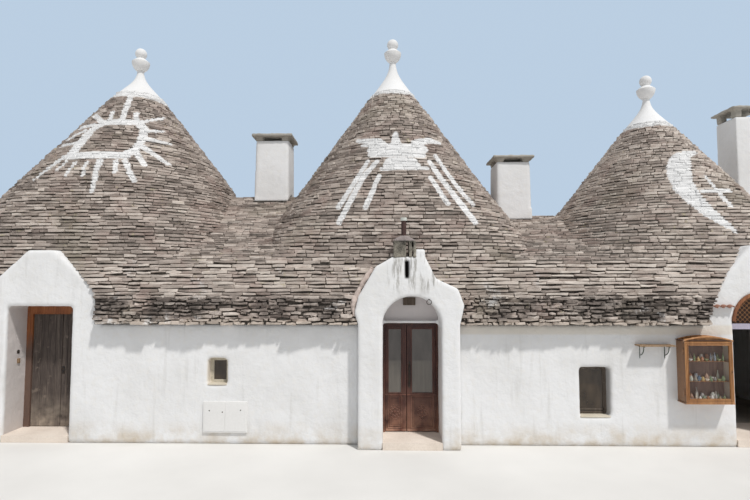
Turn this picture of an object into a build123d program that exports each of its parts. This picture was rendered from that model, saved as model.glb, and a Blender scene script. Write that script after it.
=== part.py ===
import os

from build123d import *

os.makedirs("parts", exist_ok=True)

# Plan. x runs along the front, y from the front to the back, z up from the street.
# The origin is on the ground under the tip of the middle cone.
house_depth = 6400
left_cone_x = -6430
right_cone_x = 6310
end_reach = 3180
outer_wall = 1100
cross_wall = 880
left_cross_x = -2500
right_cross_x = 2480
wall_top = 2150
floor_top = 120

half_depth = house_depth / 2
front_y = -half_depth
room_y = half_depth - outer_wall
left_end = left_cone_x - end_reach
right_end = right_cone_x + end_reach
left_room = (left_end + outer_wall, left_cross_x - cross_wall / 2)
middle_room = (left_cross_x + cross_wall / 2, right_cross_x - cross_wall / 2)
right_room = (right_cross_x + cross_wall / 2, right_end - outer_wall)

# Roof. A steep haunch of rough slabs rises from the eaves, the cones stand on it
# and pitched saddles of rubble and slabs close the gaps between them.
eave_overhang = 170
eave_edge = 80
eave_corner = 500
haunch_top = 3300
haunch_set_back = 100
haunch_corner = 1500
cone_foot = 6200
cone_flat = 2
left_peak = 8216
left_peak_cut = 668
left_slope = 1.29
left_round_level = 5300
middle_peak = 8244
middle_peak_cut = 694
middle_slope = 1.434
middle_round_level = 5300
right_peak = 7340
right_peak_cut = 597
right_slope = 1.295
right_round_level = 4700
left_ridge = 5050
right_ridge = 4550
ridge_rounding = 300
dome_gap = 50
dome_crown_drop = 750
dome_crown_radius = 250
dome_swell = 0.72

roof_clear = 2 * eave_overhang
haunch_half = half_depth - haunch_set_back
haunch_end = end_reach - haunch_set_back
dome_radius = room_y - dome_gap
left_valley = left_cone_x / 2
right_valley = right_cone_x / 2
left_cone_top = left_peak - left_peak_cut
middle_cone_top = middle_peak - middle_peak_cut
right_cone_top = right_peak - right_peak_cut

# Whitewashed pinnacles: concave cap, neck, bowl and ball
cap_lip = 25
left_cap_height = 714
middle_cap_height = 885
right_cap_height = 705
cap_sweep = 0.42
cap_sweep_rise = 0.48
neck_flare = 1.25
neck_flare_rise = 0.62
neck_radius = 76
bowl_height = 340
bowl_radius = 214
bowl_foot_radius = 95
bowl_shoulder = 0.68
bowl_belly = 0.88
ball_radius = 140
ball_joint = 0.6
ball_sink = 0.8

# Doorways. The middle one is set in a bay that stands out from the wall.
left_door_x = -6584
left_door_half = 613
left_door_top = 2470
left_door_depth = 550
middle_door_x = 276
middle_door_half = 523
middle_door_depth = 630
middle_arch_rise = 514
bay_out = 280
bay_left = -676
bay_right = 1120
right_door_x = 6560
right_door_half = 520
right_door_depth = 300
right_arch_rise = 575
arch_spring = 60
over_door = 550
ledge_out = 110
ledge_height = 40

# Gables above the wall tops, whose shoulders slant up to a narrow top. The outer two are
# (distance from the door's axis, z) and mirrored, the middle one is (x, z).
gable_depth = 620
gable_rounding = 70
gable_top = 3360
left_gable_side = ((1144, wall_top), (1110, 2480), (1050, 2730), (780, 3025), (260, 3500))
right_gable_side = ((1043, wall_top), (1032, 2340), (557, 3111), (130, 3580))
middle_gable_line = (
    (bay_left, wall_top),
    (-740, 2370),
    (-678, 2650),
    (-365, 3187),
    (-60, gable_top),
    (510, gable_top),
    (700, 2970),
    (1090, 2790),
    (1200, 2500),
    (bay_right, wall_top),
)
slit_x = 190
slit_width = 70
slit_depth = 140
slit_low = 2985
slit_high = 3300

# Joinery
jamb = 45
frame_depth = 70
head = 60
old_jamb = 120
old_head = 180
old_wide_leaf = 572
leaf_thickness = 38
leaf_gap = 6
meeting_gap = 11
leaf_lift = 12
outer_stile = 60
meeting_stile = 96
top_rail = 60
lock_rail_z = 840
narrow_leaf = 393
glass_thickness = 6
panel_sink = 8
panel_margin = 70
field_margin = 45
field_rise = 5
ledger_width = 110
ledger_thickness = 22

# Hinges: a fixed pin between two fixed knuckles, with a turning knuckle on the leaf
pin_radius = 5
pin_clearance = 0.3
knuckle_radius = 9
knuckle_height = 60
end_knuckle_height = 20
hinge_back = 10
hinge_side = 3
hinge_plate = 4
hinge_end_share = 1 / 6

# Windows, each as the x of its middle, its width, its sill and its height
left_window = (-3250, 360, 1050, 480)
right_window = (3550, 540, 510, 880)
window_recess = 160
window_bar = 40
window_frame_depth = 50

# Chimneys
left_chimney_x = -2950
left_chimney_top = 6355
middle_chimney_x = 2900
middle_chimney_top = 5800
right_chimney_x = 9020
right_chimney_y = 650
right_chimney_top = 7090
chimney_width = 880
right_chimney_width = 740
chimney_depth = 800
chimney_taper = 40
chimney_wall = 150
slab_overhang = 85
slab_thickness = 60
foot_height = 90
right_foot_height = 200
foot_size = 170
chimney_sink = 20

# Things fixed to the front
case_x = 5425
case_width = 830
case_bottom = 830
case_height = 1045
case_depth = 220
case_board = 25
case_door = 24
case_door_gap = 6
case_bar = 65
case_hinge_side = 12
case_crown = 65
shelf_x = 4584
shelf_width = 624
shelf_z = 1780
shelf_depth = 200
shelf_thickness = 24
meter_x = -3083
meter_width = 800
meter_bottom = 213
meter_height = 546
meter_depth = 40
crest_x = 153
crest_width = 380
crest_height = 280
crest_depth = 300
crest_slots = ((198, 60), (292, 34))
crest_cap = 90
crest_step_width = 165
crest_step_height = 130
vent_pipe_x = 140
vent_pipe_radius = 45
vent_pipe_height = 320
vent_pipe_sink = 30
vent_cap_radius = 58
vent_cap_height = 55
lintel_height = 100
lintel_depth = 90


def save(piece, name):
    piece.part.label = name
    export_step(piece.part, f"parts/{name}.step")


def block(x_low, x_high, y_low, y_high, z_low, z_high, mode=Mode.ADD):
    # A plain rectangular block between two corners
    with Locations(((x_low + x_high) / 2, (y_low + y_high) / 2, (z_low + z_high) / 2)):
        Box(x_high - x_low, y_high - y_low, z_high - z_low, mode=mode)


def dome_space(cone_x, cone_top):
    # The hollow of a false dome, an ogive from the wall tops to the closing slab
    crown = cone_top - dome_crown_drop
    middle_z = (wall_top + crown) / 2
    with BuildPart() as space:
        with BuildSketch(Plane.XZ):
            with BuildLine():
                Polyline(
                    (cone_x + dome_crown_radius, crown),
                    (cone_x, crown),
                    (cone_x, wall_top),
                    (cone_x + dome_radius, wall_top),
                )
                ThreePointArc(
                    (cone_x + dome_radius, wall_top),
                    (cone_x + dome_radius * dome_swell, middle_z),
                    (cone_x + dome_crown_radius, crown),
                )
            make_face()
        revolve(axis=Axis((cone_x, 0, 0), (0, 0, 1)))
    return space


def plan_outline(x_low, x_high, half, corner, rounded):
    # Plan of a haunch at one level, rounded at the house's free ends
    with Locations(((x_low + x_high) / 2, 0)):
        Rectangle(x_high - x_low, 2 * half)
    if rounded == "left":
        fillet(vertices().group_by(Axis.X)[0], corner)
    if rounded == "right":
        fillet(vertices().group_by(Axis.X)[-1], corner)


def haunch(eave_span, top_span, rounded):
    # The steep lower roof round one room, as a closed mass without the room's dome
    eave_half = half_depth + eave_overhang
    with BuildPart() as piece:
        with BuildSketch(Plane.XY.offset(wall_top + eave_edge)):
            plan_outline(*eave_span, eave_half, eave_corner, rounded)
        with BuildSketch(Plane.XY.offset(haunch_top)):
            plan_outline(*top_span, haunch_half, haunch_corner, rounded)
        loft(ruled=True)
        with BuildSketch(Plane.XY.offset(wall_top)):
            plan_outline(*eave_span, eave_half, eave_corner, rounded)
        extrude(amount=eave_edge)
    return piece


def cone(cone_x, peak, slope, round_level, cone_top, valleys):
    # A cone, round above and squared at its foot, as a closed mass without its dome.
    # Four short flats at the round level let the loft run edge to edge.
    low_radius = (peak - round_level) / slope
    top_radius = (peak - cone_top) / slope
    with BuildPart() as piece:
        with BuildSketch(Plane.XY.offset(haunch_top)):
            with Locations((cone_x, 0)):
                RectangleRounded(cone_foot, 2 * haunch_half, haunch_corner)
        with BuildSketch(Plane.XY.offset(round_level)):
            with Locations((cone_x, 0)):
                RectangleRounded(2 * low_radius, 2 * low_radius, low_radius - cone_flat / 2)
        loft(ruled=True)
        with BuildSketch(Plane.XZ):
            Polygon(
                (cone_x, round_level),
                (cone_x + low_radius, round_level),
                (cone_x + top_radius, cone_top),
                (cone_x, cone_top),
                align=None,
            )
        revolve(axis=Axis((cone_x, 0, 0), (0, 0, 1)))
        low, high = valleys
        block(low, high, -half_depth, half_depth, haunch_top, cone_top, Mode.INTERSECT)
    return piece


def saddle(x_low, x_high, ridge, neighbours):
    # The pitched fill between two cones
    with BuildPart() as piece:
        with BuildSketch(Plane.YZ.offset(x_low)) as section:
            Polygon((-haunch_half, haunch_top), (haunch_half, haunch_top), (0, ridge), align=None)
            fillet(section.vertices().sort_by(Axis.Y)[-1], ridge_rounding)
        extrude(amount=x_high - x_low)
        for neighbour in neighbours:
            add(neighbour.part, mode=Mode.SUBTRACT)
    return piece


def pinnacle(cone_x, cone_top, peak, slope, cap_height):
    # Whitewashed cap on the cone's top, then its neck, bowl and ball in one turned shape.
    # The ball meets the bowl at ball_joint of its radius, with its centre ball_sink of a
    # radius above, which are the two legs of a unit right triangle.
    base_radius = (peak - cone_top) / slope + cap_lip
    neck_z = cone_top + cap_height
    bowl_z = neck_z + bowl_height * bowl_shoulder
    bowl_top = neck_z + bowl_height
    ball_neck = ball_radius * ball_joint
    ball_z = bowl_top + ball_radius * ball_sink
    with BuildPart() as piece:
        with BuildSketch(Plane.XZ):
            with BuildLine():
                Line((cone_x, cone_top), (cone_x + base_radius, cone_top))
                Bezier(
                    (cone_x + base_radius, cone_top),
                    (cone_x + base_radius * cap_sweep, cone_top + cap_height * cap_sweep_rise),
                    (cone_x + neck_radius * neck_flare, cone_top + cap_height * neck_flare_rise),
                    (cone_x + neck_radius, neck_z),
                )
                Line((cone_x + neck_radius, neck_z), (cone_x + bowl_foot_radius, neck_z))
                ThreePointArc(
                    (cone_x + bowl_foot_radius, neck_z),
                    (cone_x + bowl_radius * bowl_belly, (neck_z + bowl_z) / 2),
                    (cone_x + bowl_radius, bowl_z),
                )
                Line((cone_x + bowl_radius, bowl_z), (cone_x + ball_neck, bowl_top))
                ThreePointArc(
                    (cone_x + ball_neck, bowl_top),
                    (cone_x + ball_radius, ball_z),
                    (cone_x, ball_z + ball_radius),
                )
                Line((cone_x, ball_z + ball_radius), (cone_x, cone_top))
            make_face()
        revolve(axis=Axis((cone_x, 0, 0), (0, 0, 1)))
    return piece


def mirrored(door_x, side):
    # A whole gable outline from its right side, given as distances from the door's axis
    left = [(door_x - reach, z) for reach, z in side]
    return left + [(door_x + reach, z) for reach, z in reversed(side)]


def gable_slab(outline, face_y, clear=0):
    # A door gable with softened corners. clear brings its face forward.
    with BuildPart() as piece:
        with BuildSketch(Plane.XZ.offset(clear - face_y)) as section:
            Polygon(*outline, align=None)
            fillet([corner for corner in section.vertices() if corner.Y > wall_top], gable_rounding)
        extrude(amount=-gable_depth - clear)
    return piece


def door_masonry(outline, face_y, door_top):
    # The masonry behind a gable, which carries the roof over the doorway
    x_low, x_high = outline[0][0], outline[-1][0]
    with BuildPart() as piece:
        block(x_low, x_high, face_y + gable_depth, -room_y, wall_top, door_top + over_door)
    return piece


def roof_notch(outline, face_y, door_top):
    # What the roof leaves open round a gable and the masonry behind it
    with BuildPart() as space:
        add(gable_slab(outline, face_y, roof_clear).part)
        add(door_masonry(outline, face_y, door_top).part)
    return space


def arch_space(door_x, half, rise, face_y, back_y):
    # The space under the round arch over a doorway, back to the plane of the door
    spring_z = wall_top + arch_spring
    with BuildPart() as space:
        with BuildSketch(Plane.XZ.offset(-face_y)):
            with BuildLine():
                Polyline(
                    (door_x - half, spring_z),
                    (door_x - half, wall_top),
                    (door_x + half, wall_top),
                    (door_x + half, spring_z),
                )
                ThreePointArc((door_x + half, spring_z), (door_x, wall_top + rise), (door_x - half, spring_z))
            make_face()
        extrude(amount=face_y - back_y)
    return space


def wall(x_low, x_high, y_low, y_high, window=None):
    # A stretch of wall, with a window opening where one is given
    with BuildPart() as piece:
        block(x_low, x_high, y_low, y_high, 0, wall_top)
        if window:
            x, width, sill, height = window
            block(x - width / 2, x + width / 2, y_low, y_high, sill, sill + height, Mode.SUBTRACT)
    return piece


def hinge_levels(z_low, z_high):
    from_end = (z_high - z_low) * hinge_end_share
    return z_low + from_end, z_high - from_end


def turning_knuckles(axis_x, axis_y, levels, side, back):
    # The leaf's share of its hinges. side is 1 where the leaf lies to the right.
    for z in levels:
        with Locations((axis_x, axis_y, z)):
            Cylinder(knuckle_radius, knuckle_height)
        low_x, high_x = sorted((axis_x, axis_x + side * (knuckle_radius + hinge_plate)))
        low_y, high_y = sorted((axis_y, axis_y - back * hinge_back))
        block(low_x, high_x, low_y, high_y, z - knuckle_height / 2, z + knuckle_height / 2)
        with Locations((axis_x, axis_y, z)):
            Cylinder(pin_radius + pin_clearance, knuckle_height, mode=Mode.SUBTRACT)


def fixed_knuckles(axis_x, axis_y, levels, side, back):
    # The frame's share: the pin and the two knuckles that hold its ends
    step = knuckle_height / 2 + pin_clearance + end_knuckle_height / 2
    for z in levels:
        with Locations((axis_x, axis_y, z)):
            Cylinder(pin_radius, 2 * step)
        for end_z in (z - step, z + step):
            with Locations((axis_x, axis_y, end_z)):
                Cylinder(knuckle_radius, end_knuckle_height)
            low_x, high_x = sorted((axis_x, axis_x - side * (knuckle_radius + hinge_plate)))
            low_y, high_y = sorted((axis_y, axis_y - back * hinge_back))
            half = end_knuckle_height / 2
            block(low_x, high_x, low_y, high_y, end_z - half, end_z + half)


def door_frame(door_x, half, face_y, jamb_width, head_height, top):
    # Two jambs and a head, with the fixed knuckles on the inner face
    inner_y = face_y + frame_depth
    levels = hinge_levels(floor_top, top - head_height)
    with BuildPart() as piece:
        block(door_x - half, door_x + half, face_y, inner_y, floor_top, top)
        block(
            door_x - half + jamb_width,
            door_x + half - jamb_width,
            face_y,
            inner_y,
            floor_top,
            top - head_height,
            Mode.SUBTRACT,
        )
        for side in (1, -1):
            axis_x = door_x - side * (half - jamb_width - leaf_gap + hinge_side)
            fixed_knuckles(axis_x, inner_y + hinge_back, levels, side, 1)
    return piece


# Walls and floor
middle_front_y = front_y - bay_out
left_jambs = (left_door_x - left_door_half, left_door_x + left_door_half)
middle_jambs = (middle_door_x - middle_door_half, middle_door_x + middle_door_half)
right_jambs = (right_door_x - right_door_half, right_door_x + right_door_half)

front_wall_far_left = wall(left_end, left_jambs[0], front_y, -room_y)
front_wall_left = wall(left_jambs[1], bay_left, front_y, -room_y, left_window)
front_wall_right = wall(bay_right, right_jambs[0], front_y, -room_y, right_window)
front_wall_far_right = wall(right_jambs[1], right_end, front_y, -room_y)
door_bay_pier_left = wall(bay_left, middle_jambs[0], middle_front_y, -room_y)
door_bay_pier_right = wall(middle_jambs[1], bay_right, middle_front_y, -room_y)
back_wall = wall(left_end, right_end, room_y, half_depth)
end_wall_left = wall(left_end, left_room[0], -room_y, room_y)
end_wall_right = wall(right_room[1], right_end, -room_y, room_y)
cross_wall_left = wall(left_room[1], middle_room[0], -room_y, room_y)
cross_wall_right = wall(middle_room[1], right_room[0], -room_y, room_y)

with BuildPart() as floor:
    for room in (left_room, middle_room, right_room):
        block(*room, -room_y, room_y, 0, floor_top)

with BuildPart() as thresholds:
    for jambs, y in ((left_jambs, front_y), (middle_jambs, middle_front_y), (right_jambs, front_y)):
        block(*jambs, y, -room_y, 0, floor_top)

# Gables over the three doorways
left_gable_line = mirrored(left_door_x, left_gable_side)
right_gable_line = mirrored(right_door_x, right_gable_side)
left_notch = roof_notch(left_gable_line, front_y, left_door_top)
middle_notch = roof_notch(middle_gable_line, middle_front_y, wall_top)
right_notch = roof_notch(right_gable_line, front_y, wall_top)

left_door_y = front_y + left_door_depth
middle_door_y = middle_front_y + middle_door_depth
right_door_y = front_y + right_door_depth
middle_arch = arch_space(
    middle_door_x, middle_door_half, middle_arch_rise, middle_front_y, middle_door_y
)
shop_arch = arch_space(right_door_x, right_door_half, right_arch_rise, front_y, right_door_y)

with BuildPart() as left_gable:
    add(gable_slab(left_gable_line, front_y).part)
    block(*left_jambs, front_y, -room_y, wall_top, left_door_top, Mode.SUBTRACT)

crest_y = middle_front_y + crest_depth
with BuildPart() as middle_gable:
    add(gable_slab(middle_gable_line, middle_front_y).part)
    add(middle_arch.part, mode=Mode.SUBTRACT)
    ledge_back = middle_front_y + gable_depth
    block(*middle_jambs, ledge_back - ledge_out, ledge_back, wall_top, wall_top + ledge_height)
    step_low = crest_x + crest_width / 2
    step_high = step_low + crest_step_width
    block(step_low, step_high, middle_front_y, crest_y, gable_top, gable_top + crest_step_height)
    block(
        slit_x - slit_width / 2,
        slit_x + slit_width / 2,
        middle_front_y,
        middle_front_y + slit_depth,
        slit_low,
        slit_high,
        Mode.SUBTRACT,
    )

with BuildPart() as right_gable:
    add(gable_slab(right_gable_line, front_y).part)
    add(shop_arch.part, mode=Mode.SUBTRACT)

with BuildPart() as over_door_masonry:
    add(door_masonry(left_gable_line, front_y, left_door_top).part)
    add(door_masonry(middle_gable_line, middle_front_y, wall_top).part)
    add(door_masonry(right_gable_line, front_y, wall_top).part)
    block(*left_jambs, front_y, -room_y, wall_top, left_door_top, Mode.SUBTRACT)
    add(middle_arch.part, mode=Mode.SUBTRACT)

# Roof
left_haunch = haunch(
    (left_end - eave_overhang, left_valley),
    (left_cone_x - haunch_end, left_valley),
    "left",
)
middle_haunch = haunch((left_valley, right_valley), (left_valley, right_valley), None)
right_haunch = haunch(
    (right_valley, right_end + eave_overhang),
    (right_valley, right_cone_x + haunch_end),
    "right",
)

left_cone_mass = cone(
    left_cone_x,
    left_peak,
    left_slope,
    left_round_level,
    left_cone_top,
    (left_cone_x - haunch_end, left_valley),
)
middle_cone_mass = cone(
    0,
    middle_peak,
    middle_slope,
    middle_round_level,
    middle_cone_top,
    (left_valley, right_valley),
)
right_cone_mass = cone(
    right_cone_x,
    right_peak,
    right_slope,
    right_round_level,
    right_cone_top,
    (right_valley, right_cone_x + haunch_end),
)
left_saddle = saddle(left_cone_x, 0, left_ridge, (left_cone_mass, middle_cone_mass))
right_saddle = saddle(0, right_cone_x, right_ridge, (middle_cone_mass, right_cone_mass))
roof_masses = (left_cone_mass, middle_cone_mass, right_cone_mass, left_saddle, right_saddle)

left_dome = dome_space(left_cone_x, left_cone_top)
middle_dome = dome_space(0, middle_cone_top)
right_dome = dome_space(right_cone_x, right_cone_top)

# The taller left doorway runs on through the foot of its dome, so its leaves swing clear
with BuildPart() as roof_haunch_left:
    add(left_haunch.part)
    add(left_dome.part, mode=Mode.SUBTRACT)
    add(left_notch.part, mode=Mode.SUBTRACT)
    block(*left_jambs, -room_y, 0, wall_top, left_door_top, Mode.SUBTRACT)

with BuildPart() as roof_haunch_middle:
    add(middle_haunch.part)
    add(middle_dome.part, mode=Mode.SUBTRACT)
    add(middle_notch.part, mode=Mode.SUBTRACT)

with BuildPart() as roof_haunch_right:
    add(right_haunch.part)
    add(right_dome.part, mode=Mode.SUBTRACT)
    add(right_notch.part, mode=Mode.SUBTRACT)

with BuildPart() as cone_left:
    add(left_cone_mass.part)
    add(left_dome.part, mode=Mode.SUBTRACT)
    add(left_notch.part, mode=Mode.SUBTRACT)

with BuildPart() as cone_middle:
    add(middle_cone_mass.part)
    add(middle_dome.part, mode=Mode.SUBTRACT)
    add(middle_notch.part, mode=Mode.SUBTRACT)

with BuildPart() as cone_right:
    add(right_cone_mass.part)
    add(right_dome.part, mode=Mode.SUBTRACT)
    add(right_notch.part, mode=Mode.SUBTRACT)

pinnacle_left = pinnacle(left_cone_x, left_cone_top, left_peak, left_slope, left_cap_height)
pinnacle_middle = pinnacle(0, middle_cone_top, middle_peak, middle_slope, middle_cap_height)
pinnacle_right = pinnacle(right_cone_x, right_cone_top, right_peak, right_slope, right_cap_height)


def chimney(x, y, width, top):
    # A tapered whitewashed shaft with its flue, cut to the roof that it stands on
    with BuildPart() as piece:
        for level, inset in ((haunch_top + chimney_sink, 0), (top, chimney_taper)):
            with BuildSketch(Plane.XY.offset(level)):
                with Locations((x, y)):
                    Rectangle(width - 2 * inset, chimney_depth - 2 * inset)
        loft(ruled=True)
        flue_x = width / 2 - chimney_taper - chimney_wall
        flue_y = chimney_depth / 2 - chimney_taper - chimney_wall
        block(x - flue_x, x + flue_x, y - flue_y, y + flue_y, haunch_top, top, Mode.SUBTRACT)
        for mass in roof_masses:
            add(mass.part, mode=Mode.SUBTRACT)
    return piece


left_shaft = (left_chimney_x, 0, chimney_width, left_chimney_top)
middle_shaft = (middle_chimney_x, 0, chimney_width, middle_chimney_top)
right_shaft = (right_chimney_x, right_chimney_y, right_chimney_width, right_chimney_top)
chimney_left = chimney(*left_shaft)
chimney_middle = chimney(*middle_shaft)
chimney_right = chimney(*right_shaft)

with BuildPart() as chimney_slabs:
    for (x, y, width, top), height in (
        (left_shaft, foot_height),
        (middle_shaft, foot_height),
        (right_shaft, right_foot_height),
    ):
        half_x = width / 2 - chimney_taper
        half_y = chimney_depth / 2 - chimney_taper
        with Locations((x, y, top)):
            with GridLocations(2 * half_x - foot_size, 2 * half_y - foot_size, 2, 2):
                Box(foot_size, foot_size, height, align=(Align.CENTER, Align.CENTER, Align.MIN))
        block(
            x - half_x - slab_overhang,
            x + half_x + slab_overhang,
            y - half_y - slab_overhang,
            y + half_y + slab_overhang,
            top + height,
            top + height + slab_thickness,
        )

# Doors
left_door_frame = door_frame(
    left_door_x, left_door_half, left_door_y, old_jamb, old_head, left_door_top
)
middle_door_frame = door_frame(
    middle_door_x, middle_door_half, middle_door_y, jamb, head, wall_top
)


def leaf_span(door_x, half, jamb_width, side, width):
    # The leaf's lowest and highest x. side is 1 for the leaf hung on the left.
    hung_edge = door_x - side * (half - jamb_width - leaf_gap)
    return tuple(sorted((hung_edge, hung_edge + side * width)))


def plank_leaf(side, width):
    # A leaf of upright planks with two ledgers behind them
    low_x, high_x = leaf_span(left_door_x, left_door_half, old_jamb, side, width)
    inner_y = left_door_y + frame_depth
    low_z = floor_top + leaf_lift
    high_z = left_door_top - old_head - leaf_gap
    levels = hinge_levels(floor_top, left_door_top - old_head)
    with BuildPart() as piece:
        block(low_x, high_x, inner_y - leaf_thickness, inner_y, low_z, high_z)
        for z in levels:
            ledger_x = (low_x + high_x) / 2
            reach = width / 2 - panel_margin
            block(
                ledger_x - reach,
                ledger_x + reach,
                inner_y,
                inner_y + ledger_thickness,
                z - ledger_width / 2,
                z + ledger_width / 2,
            )
        axis_x = left_door_x - side * (left_door_half - old_jamb - leaf_gap + hinge_side)
        turning_knuckles(axis_x, inner_y + hinge_back, levels, side, 1)
    return piece


old_narrow_leaf = 2 * (left_door_half - old_jamb - leaf_gap) - meeting_gap - old_wide_leaf
left_door_leaf_left = plank_leaf(1, old_wide_leaf)
left_door_leaf_right = plank_leaf(-1, old_narrow_leaf)


def glazed_leaf(side, width):
    # Stiles and rails round a tall pane, over a lower third with a raised and fielded panel
    low_x, high_x = leaf_span(middle_door_x, middle_door_half, jamb, side, width)
    inner_y = middle_door_y + frame_depth
    outer_y = inner_y - leaf_thickness
    low_z = floor_top + leaf_lift
    high_z = wall_top - head - leaf_gap
    levels = hinge_levels(floor_top, wall_top - head)
    left_stile, right_stile = (
        (outer_stile, meeting_stile) if side == 1 else (meeting_stile, outer_stile)
    )
    pane = (low_x + left_stile, high_x - right_stile, lock_rail_z, high_z - top_rail)
    with BuildPart() as leaf:
        block(low_x, high_x, outer_y, inner_y, low_z, high_z)
        block(pane[0], pane[1], outer_y, inner_y, pane[2], pane[3], Mode.SUBTRACT)
        panel_low = low_z + panel_margin
        panel_high = lock_rail_z - panel_margin
        for face_y, inward in ((outer_y, 1), (inner_y, -1)):
            sunk_y = face_y + inward * panel_sink
            block(
                pane[0],
                pane[1],
                min(face_y, sunk_y),
                max(face_y, sunk_y),
                panel_low,
                panel_high,
                Mode.SUBTRACT,
            )
            field_y = sunk_y - inward * field_rise
            block(
                pane[0] + field_margin,
                pane[1] - field_margin,
                min(field_y, sunk_y),
                max(field_y, sunk_y),
                panel_low + field_margin,
                panel_high - field_margin,
            )
        axis_x = middle_door_x - side * (middle_door_half - jamb - leaf_gap + hinge_side)
        turning_knuckles(axis_x, inner_y + hinge_back, levels, side, 1)
    with BuildPart() as glass:
        middle_y = (outer_y + inner_y) / 2
        half = glass_thickness / 2
        block(pane[0], pane[1], middle_y - half, middle_y + half, pane[2], pane[3])
    return leaf, glass


wide_leaf = 2 * (middle_door_half - jamb - leaf_gap) - meeting_gap - narrow_leaf
middle_door_leaf_left, middle_door_glass_left = glazed_leaf(1, narrow_leaf)
middle_door_leaf_right, middle_door_glass_right = glazed_leaf(-1, wide_leaf)

# Windows
with BuildPart() as window_frames:
    for x, width, sill, height in (left_window, right_window):
        low_y = front_y + window_recess
        high_y = low_y + window_frame_depth
        block(x - width / 2, x + width / 2, low_y, high_y, sill, sill + height)
        block(
            x - width / 2 + window_bar,
            x + width / 2 - window_bar,
            low_y,
            high_y,
            sill + window_bar,
            sill + height - window_bar,
            Mode.SUBTRACT,
        )

with BuildPart() as window_glass:
    for x, width, sill, height in (left_window, right_window):
        y = front_y + window_recess + window_frame_depth / 2
        block(
            x - width / 2 + window_bar,
            x + width / 2 - window_bar,
            y - glass_thickness / 2,
            y + glass_thickness / 2,
            sill + window_bar,
            sill + height - window_bar,
        )

# Shop doorway: a lintel across it and the arched panel above
with BuildPart() as shop_lintel:
    block(
        *right_jambs,
        right_door_y - lintel_depth,
        right_door_y,
        wall_top - lintel_height,
        wall_top,
    )

# Crest of the middle gable: slotted block, rounded capstone and a short capped vent pipe
with BuildPart() as gable_crest:
    block(
        crest_x - crest_width / 2,
        crest_x + crest_width / 2,
        middle_front_y,
        crest_y,
        gable_top,
        gable_top + crest_height,
    )
    for x, width in crest_slots:
        block(
            x - width / 2,
            x + width / 2,
            middle_front_y,
            crest_y,
            gable_top,
            gable_top + crest_height,
            Mode.SUBTRACT,
        )
    with BuildSketch(Plane.XZ.offset(-middle_front_y)):
        with BuildLine():
            low_z = gable_top + crest_height
            Line((crest_x - crest_width / 2, low_z), (crest_x + crest_width / 2, low_z))
            ThreePointArc(
                (crest_x + crest_width / 2, low_z),
                (crest_x, low_z + crest_cap),
                (crest_x - crest_width / 2, low_z),
            )
        make_face()
    extrude(amount=-crest_depth)

standing = (Align.CENTER, Align.CENTER, Align.MIN)
pipe_y = middle_front_y + crest_depth / 2
pipe_foot = gable_top + crest_height + crest_cap - vent_pipe_sink
with BuildPart() as vent_pipe:
    with Locations((vent_pipe_x, pipe_y, pipe_foot)):
        Cylinder(vent_pipe_radius, vent_pipe_height, align=standing)
    with Locations((vent_pipe_x, pipe_y, pipe_foot + vent_pipe_height)):
        Cylinder(vent_cap_radius, vent_cap_height, align=standing)
    add(gable_crest.part, mode=Mode.SUBTRACT)

# Glazed display case on the wall beside the shop doorway
case_low = case_x - case_width / 2
case_high = case_x + case_width / 2
case_top = case_bottom + case_height
case_front = front_y - case_depth
case_axis = (case_low - case_hinge_side, case_front - case_door_gap / 2)
case_levels = hinge_levels(case_bottom, case_top)
with BuildPart() as display_case:
    block(case_low, case_high, case_front, front_y, case_bottom, case_top)
    block(
        case_low + case_board,
        case_high - case_board,
        case_front,
        front_y - case_board,
        case_bottom + case_board,
        case_top - case_board,
        Mode.SUBTRACT,
    )
    with BuildSketch(Plane.XZ.offset(-case_front)):
        with BuildLine():
            Line((case_low, case_top), (case_high, case_top))
            ThreePointArc((case_high, case_top), (case_x, case_top + case_crown), (case_low, case_top))
        make_face()
    extrude(amount=-case_depth)
    for share in (1 / 3, 2 / 3):
        z = case_bottom + case_height * share
        block(
            case_low + case_board,
            case_high - case_board,
            case_front + case_board,
            front_y - case_board,
            z,
            z + glass_thickness,
        )
    fixed_knuckles(*case_axis, case_levels, -1, -1)

case_door_low = case_front - case_door_gap - case_door
case_door_high = case_front - case_door_gap
with BuildPart() as display_case_door:
    block(case_low, case_high, case_door_low, case_door_high, case_bottom, case_top)
    block(
        case_low + case_bar,
        case_high - case_bar,
        case_door_low,
        case_door_high,
        case_bottom + case_bar,
        case_top - case_bar,
        Mode.SUBTRACT,
    )
    turning_knuckles(*case_axis, case_levels, 1, 1)

with BuildPart() as display_case_glass:
    y = (case_door_low + case_door_high) / 2
    block(
        case_low + case_bar,
        case_high - case_bar,
        y - glass_thickness / 2,
        y + glass_thickness / 2,
        case_bottom + case_bar,
        case_top - case_bar,
    )

with BuildPart() as wall_shelf:
    block(
        shelf_x - shelf_width / 2,
        shelf_x + shelf_width / 2,
        front_y - shelf_depth,
        front_y,
        shelf_z,
        shelf_z + shelf_thickness,
    )

with BuildPart() as meter_cabinet:
    block(
        meter_x - meter_width / 2,
        meter_x + meter_width / 2,
        front_y - meter_depth,
        front_y,
        meter_bottom,
        meter_bottom + meter_height,
    )

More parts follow.
